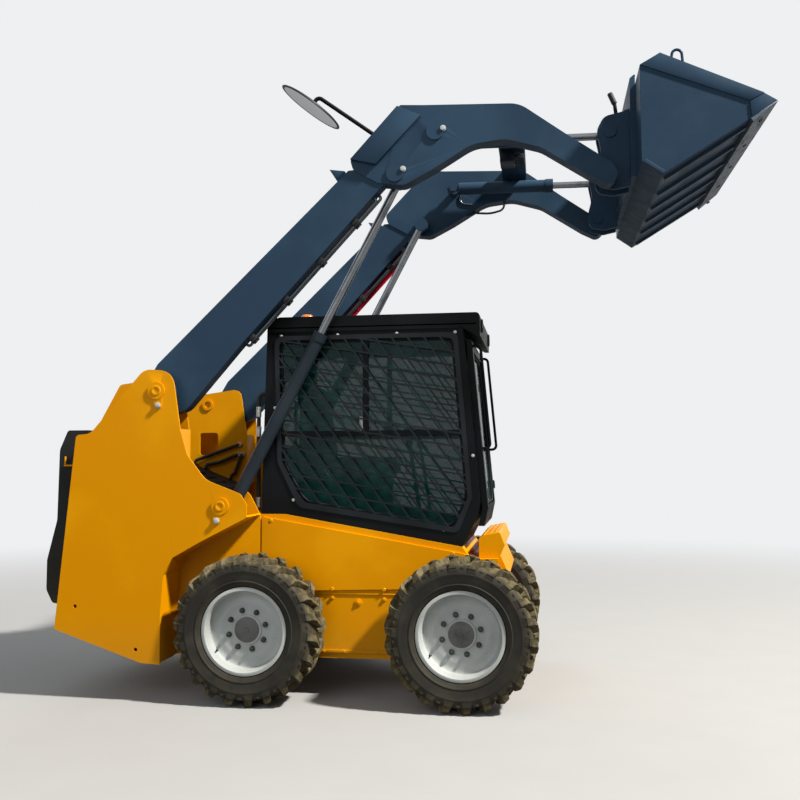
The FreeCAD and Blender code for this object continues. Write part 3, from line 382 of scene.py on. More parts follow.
def roundEdges(part, edges, size, segments=2):
    bmesh.ops.bevel(part, geom=list(edges), offset=size, offset_type="OFFSET", segments=segments, profile=0.5,
                    affect="EDGES", material=-1, clamp_overlap=True)


def addBlock(mesh, x, y, z, round, matrix=None):
    part = bmesh.new()
    bmesh.ops.create_cube(part, size=1)
    size = (x[1] - x[0], y[1] - y[0], z[1] - z[0])
    middle = ((x[0] + x[1]) / 2, (y[0] + y[1]) / 2, (z[0] + z[1]) / 2)
    bmesh.ops.transform(part, matrix=Matrix.Translation(middle) @ Matrix.Diagonal((*size, 1)), verts=part.verts)
    roundEdges(part, part.edges, round)
    put(mesh, part, matrix)


def addPlate(mesh, outline, y0, y1, round):
    # a flat plate: outline of (x, z) corners, from y0 to y1
    part = bmesh.new()
    face = part.faces.new([part.verts.new((x, y0, z)) for x, z in outline])
    pulled = bmesh.ops.extrude_face_region(part, geom=[face])["geom"]
    moved = [item for item in pulled if isinstance(item, bmesh.types.BMVert)]
    bmesh.ops.translate(part, vec=(0, y1 - y0, 0), verts=moved)
    bmesh.ops.recalc_face_normals(part, faces=part.faces)
    roundEdges(part, part.edges, round)
    put(mesh, part)


def addRound(mesh, place, direction, radius, length, sides, round=0.0, top=None):
    # a cylinder or cone that starts at place and runs along direction
    part = bmesh.new()
    bmesh.ops.create_cone(part, cap_ends=True, segments=sides, radius1=radius,
                          radius2=radius if top is None else top, depth=length)
    if round:
        roundEdges(part, [edge for edge in part.edges if min(end.co.z for end in edge.verts) > 0], round)
    put(mesh, part, Matrix.Translation(Vector(place)) @ turnTo(direction) @ Matrix.Translation((0, 0, length / 2)))


def addStack(mesh, place, direction, rounds):
    # washers, nuts and studs on one line: start along it, radius, length, sides, rounding, top radius
    direction = Vector(direction).normalized()
    for start, *shape in rounds:
        addRound(mesh, Vector(place) + direction * start, direction, *shape)


def addBolts(mesh, spots, rounds):
    # the same stack at every (x, z), outwards from the machine's middle
    for x, z in spots:
        addStack(mesh, (x, 0, z), outward, rounds)


def addSpin(mesh, profile, place, axis, steps, closed=False):
    # profile of (radius, along the axis); a point on the axis has radius 0
    part = bmesh.new()
    ring = [part.verts.new((radius, 0, along)) for radius, along in profile]
    pairs = list(zip(ring, ring[1:])) + ([(ring[-1], ring[0])] if closed else [])
    edges = [part.edges.new(pair) for pair in pairs]
    bmesh.ops.spin(part, geom=ring + edges, cent=(0, 0, 0), axis=upward, angle=2 * math.pi, steps=steps,
                   use_merge=True)
    bmesh.ops.remove_doubles(part, verts=part.verts, dist=0.01)
    bmesh.ops.recalc_face_normals(part, faces=part.faces)
    put(mesh, part, Matrix.Translation(Vector(place)) @ turnTo(axis))


def addTube(mesh, points, radius, bend, sides=4):
    # a tube round a line whose corners are bent; caps on both ends
    line = bpy.data.curves.new("tube", "CURVE")
    line.dimensions = "3D"
    line.bevel_depth = radius
    line.bevel_resolution = sides
    line.resolution_u = 6
    line.use_fill_caps = True
    points = [Vector(point) for point in points]
    stations = [(points[0], points[0], points[0])]
    for before, corner, after in zip(points, points[1:], points[2:]):
        back = (before - corner).normalized()
        ahead = (after - corner).normalized()
        reach = min(bend, (before - corner).length * 0.48, (after - corner).length * 0.48)
        start = corner + back * reach
        end = corner + ahead * reach
        stations.append((start, start, start.lerp(corner, 0.55)))
        stations.append((end, end.lerp(corner, 0.55), end))
    stations.append((points[-1], points[-1], points[-1]))
    spline = line.splines.new("BEZIER")
    spline.bezier_points.add(len(stations) - 1)
    for knot, (place, left, right) in zip(spline.bezier_points, stations):
        knot.handle_left_type = knot.handle_right_type = "FREE"
        knot.co, knot.handle_left, knot.handle_right = place, left, right
    holder = bpy.data.objects.new("tube", line)
    data = bpy.data.meshes.new_from_object(holder)
    part = bmesh.new()
    part.from_mesh(data)
    bpy.data.objects.remove(holder)
    bpy.data.curves.remove(line)
    bpy.data.meshes.remove(data)
    bmesh.ops.remove_doubles(part, verts=part.verts, dist=0.02)
    put(mesh, part)


# the frame's own plates, with rounded edges: body, finish and the edges' width in millimetres
softenLook = [
    ("chassis", yellowPaint, {"tower_left": 2.2, "tower_right": 2.2, "main_frame": 3.0, "side_panels": 1.6,
                              "front_step": 2.0}),
    ("chassis", guardPaint, {"window_guards": 1.2}), ("chassis", cabPaint, {"cab_frame": 3.0}),
    ("chassis", tailPaint, {"engine_hood": 3.0}), ("tail_door", tailPaint, {"rear_door": 4.0}),
    ("cab_door", cabPaint, {"door_frame": 2.5}), ("boom", redPaint, {"safety_brace": 1.5}),
    ("boom", slatePaint, {"arm_left": 2.2, "arm_right": 2.2, "boom_crossmember": 2.5}),
    ("bucket", slatePaint, {"coupler": 1.6, "bucket_shell": 1.4}), ("bucket", groundSteel, {"bucket_edge": 1.5}),
]
plainLook = {
    "engine_block": tailPaint, "cab_glass": glass, "door_glass": glass, "chassis_hoses": hoseRubber,
    "tail_lamps": redLens, "control_levers": mouldedPlastic, "cab_lamps": clearLens, "amber_lamp": amberLens,
    "door_guard": cabPaint, "boom_pipes": pipeSteel, "mirror_post": cabPaint, "mirror_disc": mouldedPlastic,
    "coupler_levers": cabPaint, "seat_cushion": seatVinyl, "seat_back": seatVinyl,
}
# metres here, but the spots of the rods' eyes
rodEyes = {"lift_rod": (785, 2785), "tilt_rod": (1912, 2990), "radius": 0.0435}
edgeForm = {"weld": 0.00002, "flat": math.radians(0.5), "sharp": 31, "cheekY": 0.808}


def repaint(node, finish):
    data = frame["nodes"][node].data
    data.materials.clear()
    data.materials.append(finish)
    return data


def paintRod(rod, side):
    # the rod is bright, the round eye at its end is painted
    data = repaint(rod + "_" + side, chrome)
    data.materials.append(slatePaint)
    x, z = rodEyes[rod]
    centre = Vector((axleX + x / 1000, 0, z / 1000))
    for face in data.polygons:
        if (face.center - centre).xz.length < rodEyes["radius"]:
            face.material_index = 1


def soften(node, body, finish, width):
    form = edgeForm
    mesh = bmesh.new()
    mesh.from_mesh(frame["nodes"][node].data)
    bmesh.ops.remove_doubles(mesh, verts=mesh.verts, dist=form["weld"])
    if node == "bucket_shell":    # room for the strips along the cheeks
        for vert in mesh.verts:
            vert.co.y = min(max(vert.co.y, -form["cheekY"]), form["cheekY"])
    bmesh.ops.dissolve_limit(mesh, angle_limit=form["flat"], verts=mesh.verts, edges=mesh.edges, delimit={"NORMAL"})
    piece = meshObject(node + "_plate", mesh, finish, form["sharp"])
    edge = piece.modifiers.new("edge", "BEVEL")
    edge.width = width / 1000
    edge.segments = 2
    edge.limit_method = "ANGLE"
    edge.angle_limit = math.radians(form["sharp"])
    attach(piece, body)
    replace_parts(piece, node)


for body, finish, widths in softenLook:
    for node, width in widths.items():
        soften(node, body, finish, width)
for node, finish in plainLook.items():
    repaint(node, finish)
for side in ("left", "right"):
    repaint("lift_barrel_" + side, barrelPaint)
    repaint("tilt_barrel_" + side, slatePaint)
    paintRod("lift_rod", side)
    paintRod("tilt_rod", side)
print("plates softened")


wheels = {"rear_right": (0, -1), "rear_left": (0, 1), "front_right": (wheelBase, -1), "front_left": (wheelBase, 1)}
tyreForm = {
    "profile": [(218.6, 102.6), (229.6, 103.4), (233, 116), (240, 120), (250, 123), (254, 127), (259, 128),
                (263, 125.5), (286, 129), (305, 130.5), (309, 131.6), (315, 131.4), (319, 129.5), (334, 128.5),
                (346, 122), (354, 108), (358, 80), (360, 40), (360.5, 0)],
    "steps": 88, "lugs": 22, "wide": 43.0, "crest": 31.0, "slant": math.radians(9.7), "slantOver": 127,
    "from": -2, "span": 132.5, "cuts": 7, "narrow": 0.9, "flare": 0.22, "round": 3.0,
    "root": [(0, 357), (80, 355), (104, 350), (119, 338), (130.5, 318)],
    "top": [(0, 387.3), (60, 387.3), (102, 387.1), (119, 376), (130.8, 346)],
    "block": ((333, 345), (-9, 9), (120, 129), 2.0),
}


def levelAt(stops, across):
    for (a, first), (b, second) in zip(stops, stops[1:]):
        if across <= b:
            return first + (second - first) * (across - a) / (b - a)
    return stops[-1][1]


def makeLug(form):
    # one bar of the tread: it slants from the middle to the shoulder and wraps over it
    lug = bmesh.new()
    bmesh.ops.create_cube(lug, size=1)
    runs = [edge for edge in lug.edges if abs(edge.verts[0].co.z - edge.verts[1].co.z) > 0.5]
    bmesh.ops.subdivide_edges(lug, edges=runs, cuts=form["cuts"], use_grid_fill=True)
    # the edges round the bar's top, without the cuts across it
    crest = [edge for edge in lug.edges if min(end.co.y for end in edge.verts) > 0.4
             and (abs(edge.verts[0].co.x - edge.verts[1].co.x) < 0.1 or abs(edge.verts[0].co.z) > 0.49)
             and abs(abs(edge.verts[0].co.x) - 0.5) < 0.01]
    for vert in lug.verts:
        share = vert.co.z + 0.5
        across = form["from"] + share * form["span"]
        high = vert.co.y + 0.5
        near = max(across, 0)
        root = levelAt(form["root"], near)
        radius = root + (levelAt(form["top"], near) - root) * high
        wide = (form["wide"] + (form["crest"] - form["wide"]) * high) * (form["narrow"] + form["flare"] * share)
        turn = vert.co.x * wide / radius + form["slant"] * across / form["slantOver"]
        vert.co = Vector((radius * math.cos(turn), radius * math.sin(turn), across))
    roundEdges(lug, crest, form["round"], 1)
    bmesh.ops.recalc_face_normals(lug, faces=lug.faces)
    data = bpy.data.meshes.new("lug")
    lug.to_mesh(data)
    lug.free()
    return data


def wheelPiece(label, wheel, part, finish, angle=30):
    # the part is built along Z, outer side up, and goes to its place on the machine
    axle, side = wheels[wheel]
    mesh = bmesh.new()
    put(mesh, part, Matrix(((1, 0, 0, axle), (0, 0, side, side * wheelY), (0, 1, 0, wheelZ), (0, 0, 0, 1))))
    return finishPiece(label + "_" + wheel, mesh, finish, "wheel_" + wheel, angle)


def makeTyre(wheel):
    form = tyreForm
    part = bmesh.new()
    half = form["profile"]
    addSpin(part, half + [(radius, -across) for radius, across in half[-2::-1]], (0, 0, 0), upward, form["steps"],
            closed=True)
    lug = makeLug(form)
    pitch = 2 * math.pi / form["lugs"]
    for flip, shift in ((1, 0.25), (-1, 0.75)):
        for number in range(form["lugs"]):
            bar = bmesh.new()
            bar.from_mesh(lug)
            put(part, bar, Matrix.Rotation(pitch * (number + shift), 4, "Z") @ Matrix.Diagonal((1, 1, flip, 1)))
    bpy.data.meshes.remove(lug)
    # raised blocks between the lugs' feet, low on the shoulder
    for number in range(form["lugs"]):
        addBlock(part, *form["block"], Matrix.Rotation(pitch * (number + shift) + form["slant"], 4, "Z"))
    axle, side = wheels[wheel]
    centre = (axleX + axle / 1000, side * wheelY / 1000, wheelZ / 1000)
    piece = wheelPiece("tread", wheel, part, tyreRubber("tyreRubber_" + wheel, centre))
    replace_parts(piece, "tyre_" + wheel)


rimForm = {
    "outer": [(0, 55), (16, 55), (19, 52), (62, 52), (68, 55), (76, 54), (80, 48), (88, 45.5), (124, 45.5), (134, 49),
              (150, 49), (166, 45.5), (184, 46.5), (193, 52), (197, 61), (201, 88), (204.5, 97), (206.2, 112),
              (210, 116.6), (222, 117), (227, 115), (227.3, 108), (224, 103.6), (217.7, 102.8)],
    "inner": [(217.7, -103), (227.3, -105), (227.3, -116), (220, -117), (206.7, -116), (206, 24), (196, 34), (78, 35),
              (78, -51.7), (35, -51.7), (35, -111.7), (0, -111.7)],
    "hub": [(0, 54), (62, 54), (66, 53.2), (66, 57), (63, 58.5), (12, 58.5), (9, 62), (0, 62)],
    "steps": 80, "hubSteps": 48, "boltCircle": 101.6, "bolts": 8, "firstBolt": 0.35,
    "nut": [(45, 15, 5, 20, 0, 13), (49, 13, 15, 6, 1.4), (60, 7, 12, 14, 1.2)],
    "stemTurn": math.radians(214), "stemCircle": 193, "stem": [(56, 4.5, 34, 12, 1, 4), (54, 7, 10, 14, 1)],
}


def makeRim(wheel):
    form = rimForm
    disc = bmesh.new()
    addSpin(disc, form["outer"] + form["inner"], (0, 0, 0), upward, form["steps"])
    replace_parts(wheelPiece("dish", wheel, disc, silverPaint, 34), "rim_" + wheel)
    hub = bmesh.new()
    addSpin(hub, form["hub"], (0, 0, 0), upward, form["hubSteps"])
    wheelPiece("hubEnd", wheel, hub, hubSteel)
    nuts = bmesh.new()
    for number in range(form["bolts"]):
        turn = 2 * math.pi * (number + form["firstBolt"]) / form["bolts"]
        spot = (form["boltCircle"] * math.cos(turn), form["boltCircle"] * math.sin(turn), 0)
        addStack(nuts, spot, upward, form["nut"])
    # the valve stem leans towards the axle
    x, y = math.cos(form["stemTurn"]), math.sin(form["stemTurn"])
    for z, *shape in form["stem"]:
        addRound(nuts, (form["stemCircle"] * x, form["stemCircle"] * y, z), (-x / 2, -y / 2, 1), *shape)
    wheelPiece("wheelNuts", wheel, nuts, nutSteel)


for wheel in wheels:
    makeTyre(wheel)
    makeRim(wheel)
print("wheels done")


def rearWallX(z):
    return 30 * (z - 975) / 1025


def frontWallX(z):
    return 1205 - 85 * (z - 1040) / 960


def windowLine(y):
    # round the side window, a little inside its opening, from the middle of its top
    corners = [(rearWallX(1930) + 76, 1926), (frontWallX(1930) - 66, 1926), (frontWallX(1075) - 70, 1065),
               (1056, 909), (244, 1044), (rearWallX(1260) + 116, 1260)]
    middle = ((corners[0][0] + corners[1][0]) / 2, corners[0][1])
    return [(x, y, z) for x, z in [middle, *corners[1:], corners[0], middle]]


def ringLine(wall, off, half, bottom, top, crown):
    # round an opening in the rear or front wall, from the middle of its top
    corners = [(0, crown), (half, top), (half, bottom), (-half, bottom), (-half, top), (0, crown)]
    return [(wall(z) + off, y, z) for y, z in corners]


beaconForm = {"place": (150, 0, 2064.2), "ribs": 24, "low": (42, 0, 22), "high": (36.5, 0, 62), "radius": 1.6}


def beaconRib(number):
    form = beaconForm
    turn = Matrix.Rotation(2 * math.pi * number / form["ribs"], 3, "Z")
    low, high = turn @ Vector(form["low"]), turn @ Vector(form["high"])
    return (Vector(form["place"]) + low, high - low, form["radius"], (high - low).length, 8)


def keeperBolt(face):
    return [(face + 6, 17, 2.4, 24, 0.5), (face + 8, 14.5, 10, 6, 1.2)]


def rearDoorX(z):
    # the door's face leans a little
    return -1143 + 8 * (z - 944) / 389


def slatLine(z):
    face = rearDoorX(z + 16)
    return [(face + 2, z + 17), (face - 15, z + 4), (face - 16, z + 6.5), (face - 1, z + 21)]


lampPlace = (1214, 320, 2003)
mirrorSeat = ((324.5, -628, 3169.5), (0.5817, 0, 0.8134), 72)    # middle, the way its back looks, steps
towerFace, armFace, cheekFace = 700, 630, (806, 814.8)
seatSeams = (([(306, 1188), (306, 1262), (500, 1276), (714, 1284), (716, 1190)], 232, 30),
             ([(222, 1190), (140, 1728), (222, 1732), (290, 1300)], 222.72, 40))


# plain pieces: blocks (x, y, z, rounding), plates (corners, two y, rounding), spins (profile, place, axis, steps,
# closed), tubes (line, radius, bend), rounds (place, direction, radius, length, sides, rounding, top radius), stacks
# (place, direction, rounds) and bolts (spots, rounds), all of them on both sides, and those in "middle" once
plainForm = {
    "windowGaskets": {
        "look": (sealRubber, "chassis", "cab_black"), "tubes": [(windowLine(405), 7, 46)],
        "middle": {"tubes": [(ringLine(rearWallX, 8, 326, 1354, 1896, 1900), 6, 30)]}},
    "doorGasket": {
        "look": (sealRubber, "cab_door", "cab_black"),
        "middle": {"tubes": [(ringLine(frontWallX, 27, 302, 1030, 1853, 1853), 6, 30)]}},
    "windowLatches": {
        "look": (zinc, "chassis", "cab_black"), "bolts": [([(563, 1478)], [(409, 9, 8, 20, 1.5)])],
        "blocks": [((548, 578), (404, 410), (1450, 1506), 2), ((556, 570), (416, 423), (1430, 1488), 2.5)]},
    "guardBolts": {
        "look": (zinc, "chassis", "cab_black"),
        "bolts": [([(110, 1958), (430, 1958), (760, 1958), (1080, 1958), (1170, 1290), (182, 1052), (638, 960),
                    (1010, 895), (76, 1560)], [(428, 9, 2.0, 20, 0.5), (430, 6, 3.8, 6, 0, 5)])]},
    "cabTrim": {    # drip rail and corner plate under the roof, seams of the roof's skin
        "look": (cabPaint, "chassis", "cab_black", 30),
        "blocks": [((36, 1196), (426, 432), (1998, 2007), 1.0), ((1150, 1206), (428, 431.6), (1960, 2050), 1.0)],
        "bolts": [([(1178, 1978), (1178, 2030)], [(428, 7, 3.8, 6, 0.8)])],
        "middle": {"blocks": [((240, 1120), (y - 9, y + 9), (2058, 2063.6), 1.5) for y in (-250, 0, 250)]}},
    "headlampLenses": {
        "look": (clearLens, "chassis", "lamp_clear"), "replaces": "cab_lamps",
        "spins": [([(0, 8.6), (12, 8.2), (24, 6.6), (30.4, 4), (30.4, 0.3), (0, 0.3)], lampPlace, forward, 48)]},
    "headlampRings": {
        "look": (mouldedPlastic, "chassis", "cab_black"),
        "spins": [([(30.5, 0.2), (37.8, 0.2), (37.8, 7), (35, 9.6), (31, 9.8), (30.5, 8)], lampPlace, forward, 48,
                   True)]},
    "beaconDome": {
        "look": (amberLens, "chassis", "lamp_amber"), "replaces": "amber_lamp",
        "middle": {"spins": [([(42.5, 18), (43.5, 22), (41, 46), (36, 68), (30, 76), (18, 79.3), (0, 79.8), (0, 18)],
                              beaconForm["place"], upward, 48)],
                   "rounds": [beaconRib(number) for number in range(beaconForm["ribs"])]}},
    "beaconFoot": {
        "look": (mouldedPlastic, "chassis", "cab_black"),
        "middle": {"spins": [([(0, 0), (47.8, 0), (47.8, 10), (44, 17.8), (0, 17.8)], beaconForm["place"], upward,
                              48)]}},
    "mirrorShell": {
        "look": (mouldedPlastic, "boom", "mirror_back"), "replaces": "mirror_disc",
        "middle": {"spins": [([(0, 3.2), (172, 3.0), (176, 0.2), (184, 0.2), (186.6, 3), (184, 8), (170, 13),
                               (120, 22), (60, 25), (0, 25.6)], *mirrorSeat)]}},
    "mirrorFace": {
        "look": (mirrorFace, "boom", "mirror_back"),
        "middle": {"spins": [([(0, 2.6), (100, 2.2), (171.5, 1.4), (171.5, 3.1), (0, 3.1)], *mirrorSeat)]}},
    "hoseFittings": {
        "look": (zinc, "chassis", "hose_black"),
        "bolts": [([(-432, 1376), (-440, 1310), (-412, 1312)],
                   [(482.7, 13.5, 24.4, 20, 1.4), (494.7, 17, 12.4, 6, 1.4)])],
        "stacks": [((-25, 400, z), upward, [(0, 14, 44, 20, 1.5), (44, 15.5, 12, 6, 1.2)])
                   for z in (1010, 1402, 1512)]},
    "hoseSpirals": {    # the guard over the long hoses
        "look": (mouldedPlastic, "chassis", "hose_black"),
        "rounds": [((-25, 400, 1070 + number * 5.4), (0.1, 0, 1), 13.2, 3.2, 20, 0.7) for number in range(60)]},
    "towerPins": {
        "look": (yellowPaint, "chassis", "body_yellow"),
        "spins": [([(0, 0), (27, 0), (27, 8), (25, 10), (17, 10), (15, 7), (7, 7), (5, 2), (0, 2)],
                   (x, towerFace + 4, z), outward, 40) for x, z in ((-500, 1645), (-140, 1030))]},
    "towerBolts": {
        "look": (zinc, "chassis", "body_yellow"), "bolts": [([(-490, 1565), (-158, 954)], keeperBolt(towerFace))]},
    "armPins": {
        "look": (zinc, "boom", "boom_slate"), "bolts": [([(828, 2805), (1042, 3013)], keeperBolt(armFace))]},
    "armDoublers": {
        "look": (slatePaint, "boom", "boom_slate"),
        "plates": [([(546, 2868), (800, 3144), (924, 3086), (684, 2834)], armFace, armFace + 24, 2.5)]},
    "beamTabs": {
        "look": (slatePaint, "boom", "boom_slate"),
        "plates": [([(418, 2840), (502, 2828), (530, 2780), (468, 2762)], 570, 580, 1.2),
                   ([(612, 2712), (648, 2728), (692, 2680), (664, 2664)], 570, 580, 1.2)]},
    "armHose": {    # this, the pipe and the tab are on the left arm only
        "look": (hoseRubber, "boom", "boom_slate"),
        "middle": {"tubes": [([(1118, 545, 2900), (1124, 545, 2866), (1228, 545, 2858), (1312, 545, 2880),
                               (1318, 545, 2935)], 7, 30)]}},
    "armPipe": {
        "look": (chrome, "boom", "boom_slate"),
        "middle": {"tubes": [([(1034, 524, 2982), (1034, 524, 2926), (1114, 524, 2916)], 6, 30)]}},
    "armTab": {
        "look": (slatePaint, "boom", "boom_slate"),
        "middle": {"plates": [([(1052, 2890), (1052, 2843), (1126, 2856), (1126, 2900)], 548, 556, 1.5)]}},
    "boomValve": {    # auxiliary couplings on the cross member
        "look": (barrelPaint, "boom", "boom_slate"),
        "middle": {"blocks": [((1316, 1400), (-70, 70), (3000, 3071), 4)],
                   "stacks": [((0, y, 3030), forward, [(1396, 16, 40, 24, 2), (1430, 20, 26, 6, 2)])
                              for y in (-45, 0, 45)]}},
    "sideBolts": {
        "look": (yellowPaint, "chassis", "body_yellow"),
        "bolts": [([(403, 574), (688, 574), (60, 940), (1060, 770), (1200, 700), (60, 600)], [(446, 11, 3, 20, 0, 8)]),
                  ([(403, 527), (688, 521)], [(434, 12.48, 2.5, 20, 0.6), (436.5, 9.232, 7, 6, 0.96)]),
                  ([(546, 503)], [(434, 20, 5, 32, 1.2), (439, 10, 6, 6, 1)])]},
    "sideFlanges": {    # of the drive case, along the tub
        "look": (yellowPaint, "chassis", "body_yellow"),
        "blocks": [((330, 790), (434, 441), (232, 250), 1.5), ((330, 790), (434, 440), (545, 553), 1.5)],
        "bolts": [([(360, 241), (470, 241), (650, 241), (760, 241)], [(441, 7, 4, 6, 0.8)])]},
    "stepTread": {
        "look": (yellowPaint, "chassis", "body_yellow"),
        "middle": {"rounds": [((1222 + 30 * row, 36 * number + 12 * (row % 2) - 378, 864.225 + 6.375 * row),
                               (-0.2, 0, 1), 8, 3.2, 16, 0, 5) for row in range(3) for number in range(22)]}},
    "leverBoots": {
        "look": (gripRubber, "chassis", "cab_black"),
        "spins": [([(46, 0), (46, 5), (38, 9), (41, 14), (33, 20), (36, 26), (28, 32), (30, 38), (22, 45), (14, 54),
                    (12, 62), (0, 62), (0, 0)], (868, 235, 916), (-0.15, 0, 1), 32),
                  ([(11, 0), (20, 2), (21.5, 14), (18.5, 24), (20.5, 34), (18.5, 44), (20.5, 54), (18.5, 64),
                    (21, 74), (20, 96), (16, 104), (0, 107), (0, 0)], (801.5, 235, 1347), (-0.15, 0, 1), 28)]},
    "seatPiping": {
        "look": (sealRubber, "chassis", "seat_cloth"),
        "middle": {"tubes": [([(x, side * y, z) for x, z in line], 4, bend) for side in (-1, 1)
                             for line, y, bend in seatSeams]}},
    "tailLouvres": {
        "look": (tailPaint, "tail_door", "cab_black", 30),
        "middle": {"plates": [(slatLine(980 + 36 * number), -286, 286, 0.8) for number in range(8)]}},
    "tailLatch": {
        "look": (zinc, "tail_door", "cab_black"),
        "middle": {"blocks": [((-1156, -1144), (-14, 14), (1268, 1330), 4)],
                   "stacks": [((0, 0, 1300), (-1, 0, 0), [(1139, 34, 5, 40, 1.5), (1144, 10, 8, 20, 1)])]}},
    "tailLampBezels": {
        "look": (mouldedPlastic, "tail_door", "cab_black"),
        "blocks": [((rearDoorX(z) - 14, rearDoorX(z)), (390, 506), (z, z + 7), 2) for z in (1222, 1311)]
        + [((-1152, -1136), (y, y + 7), (1222, 1318), 2) for y in (390, 499)]},
    "cheekStrips": {
        "look": (slatePaint, "bucket", "boom_slate"),
        "plates": [([(2041, 3214.6), (2138, 3268), (2625, 3035.6), (2556, 3000)], *cheekFace, 1.2),
                   ([(2557, 2996), (2625, 3033), (2684, 2994), (2598, 2939), (2563, 2917)], *cheekFace, 1.2),
                   ([(2042, 2728), (2062, 2740), (2150, 2674), (2139, 2658)], *cheekFace, 1.2)]},
    "bucketLoops": {
        "look": (slatePaint, "bucket", "boom_slate"),
        "tubes": [([(2192, 790, 3232), (2202, 790, 3288), (2244, 790, 3284), (2250, 790, 3206)], 7, 22)]},
    "couplerPins": {
        "look": (nutSteel, "bucket", "boom_slate"),
        "bolts": [([(1895, 2745), (1912, 2990)], [(513.8, 28, 6, 32, 1.5), (519.6, 5, 4, 12, 0.8)])],
        "rounds": [((2012.2, y, z), (-1, 0, 0), 12, 6, 6, 1) for z in (2780, 3170) for y in (120, 300)]},
    "couplerGrips": {
        "look": (gripRubber, "bucket", "cab_black"), "rounds": [((1955, 306, 3215), (-25, 0, 60), 15, 65, 24, 4)]},
}
shapeMakers = {"blocks": addBlock, "plates": addPlate, "spins": addSpin, "tubes": addTube, "rounds": addRound,
               "stacks": addStack, "bolts": addBolts}


def addShapes(mesh, form):
    for kind, make in shapeMakers.items():
        for shape in form.get(kind, []):
            make(mesh, *shape)


for name, form in plainForm.items():
    part = bmesh.new()
    addShapes(part, form)
    middle = bmesh.new()
    addShapes(middle, form.get("middle", {}))
    piece = finishPair(name, part, *form["look"], middle=middle)
    if "replaces" in form:
        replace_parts(piece, form["replaces"])
print("plain pieces done")


clampForm = {"line": ((-62, 0, 1889), (725, 0, 2735)), "shares": (0.06, 0.3, 0.54, 0.78), "drop": 24,
             "halves": [((-20, 20), (548, 606), (-22, -1), 2.5), ((-20, 20), (548, 606), (1, 12), 2.5)],
             "bolt": (7, 6, 6, 0.8), "boltY": 577, "boltDrop": 12}


def makePipeClamps():
    form = clampForm
    low, high = (Vector(end) for end in form["line"])
    run = (high - low).normalized()
    down = Vector((run.z, 0, -run.x))
    turn = Matrix((run, outward, down)).transposed().to_4x4()
    part = bmesh.new()
    for share in form["shares"]:
        spot = low.lerp(high, share) + down * form["drop"]
        for half in form["halves"]:
            addBlock(part, *half, Matrix.Translation(spot) @ turn)
        addRound(part, spot + Vector((0, form["boltY"], 0)) + down * form["boltDrop"], down, *form["bolt"])
    finishPair("pipeClamps", part, mouldedPlastic, "boom", "boom_slate")


bucketForm = {"tip": (2689, 0, 2993), "heel": (2139, 0, 2657), "half": 815, "bolts": 5, "boltInset": 70,
              "boltBack": 96, "proud": 0.2, "head": (15, 4, 24, 0, 11), "nut": (12, 7, 6, 1), "thick": 22,
              "seam": [(2140, 3262), (2055, 3212), (2055, 2738), (2146, 2672), (2590, 2944)],
              "seamInset": 14, "seamBead": (5, 20, 3), "ribs": 6, "ribInset": 100, "ribHalf": 18, "ribFrom": 24,
              "ribLong": 420, "ribDrop": 1.5, "ribBead": (3.5, 5, 2)}


def makeBucketDetails():
    form = bucketForm
    tip, heel = Vector(form["tip"]), Vector(form["heel"])
    run = (tip - heel).normalized()
    down = Vector((run.z, 0, -run.x))
    bolts = bmesh.new()
    for number in range(form["bolts"]):
        y = (2 * number / (form["bolts"] - 1) - 1) * (form["half"] - form["boltInset"])
        spot = tip - run * form["boltBack"] + Vector((0, y, 0)) - down * form["proud"]
        addRound(bolts, spot, -down, *form["head"])
        addRound(bolts, spot + down * form["thick"], down, *form["nut"])
    finishPiece("bucketBolts", bolts, nutSteel, "bucket")
    # weld beads where the cheeks and the ribs meet the sheet
    welds = bmesh.new()
    for side in (-1, 1):
        y = side * (form["half"] - form["seamInset"])
        addTube(welds, [(x, y, z) for x, z in form["seam"]], *form["seamBead"])
    for number in range(form["ribs"]):
        y = (2 * number / (form["ribs"] - 1) - 1) * (form["half"] - form["ribInset"])
        for edge in (-form["ribHalf"], form["ribHalf"]):
            low = heel + run * form["ribFrom"] + down * form["ribDrop"] + Vector((0, y + edge, 0))
            addTube(welds, [low, low + run * form["ribLong"]], *form["ribBead"])
    finishPiece("bucketWelds", welds, slatePaint, "bucket")


def applyAll(piece):
    graph = bpy.context.evaluated_depsgraph_get()
    done = bpy.data.meshes.new_from_object(piece.evaluated_get(graph), depsgraph=graph)
    old = piece.data
    piece.modifiers.clear()
    piece.data = done
    bpy.data.meshes.remove(old)


cushionLook = {"seat_cushion": {"pressure": 5.0, "rise": 0.026}, "seat_back": {"pressure": 4.0, "rise": 0.022},
               "shrink": 0.55, "grid": 0.012, "quickGrid": 0.03, "frames": 20, "gap": 0.0004}
clothSet = {"quality": 6, "mass": 0.25, "tension_stiffness": 30, "bending_stiffness": 2, "use_pressure": True}


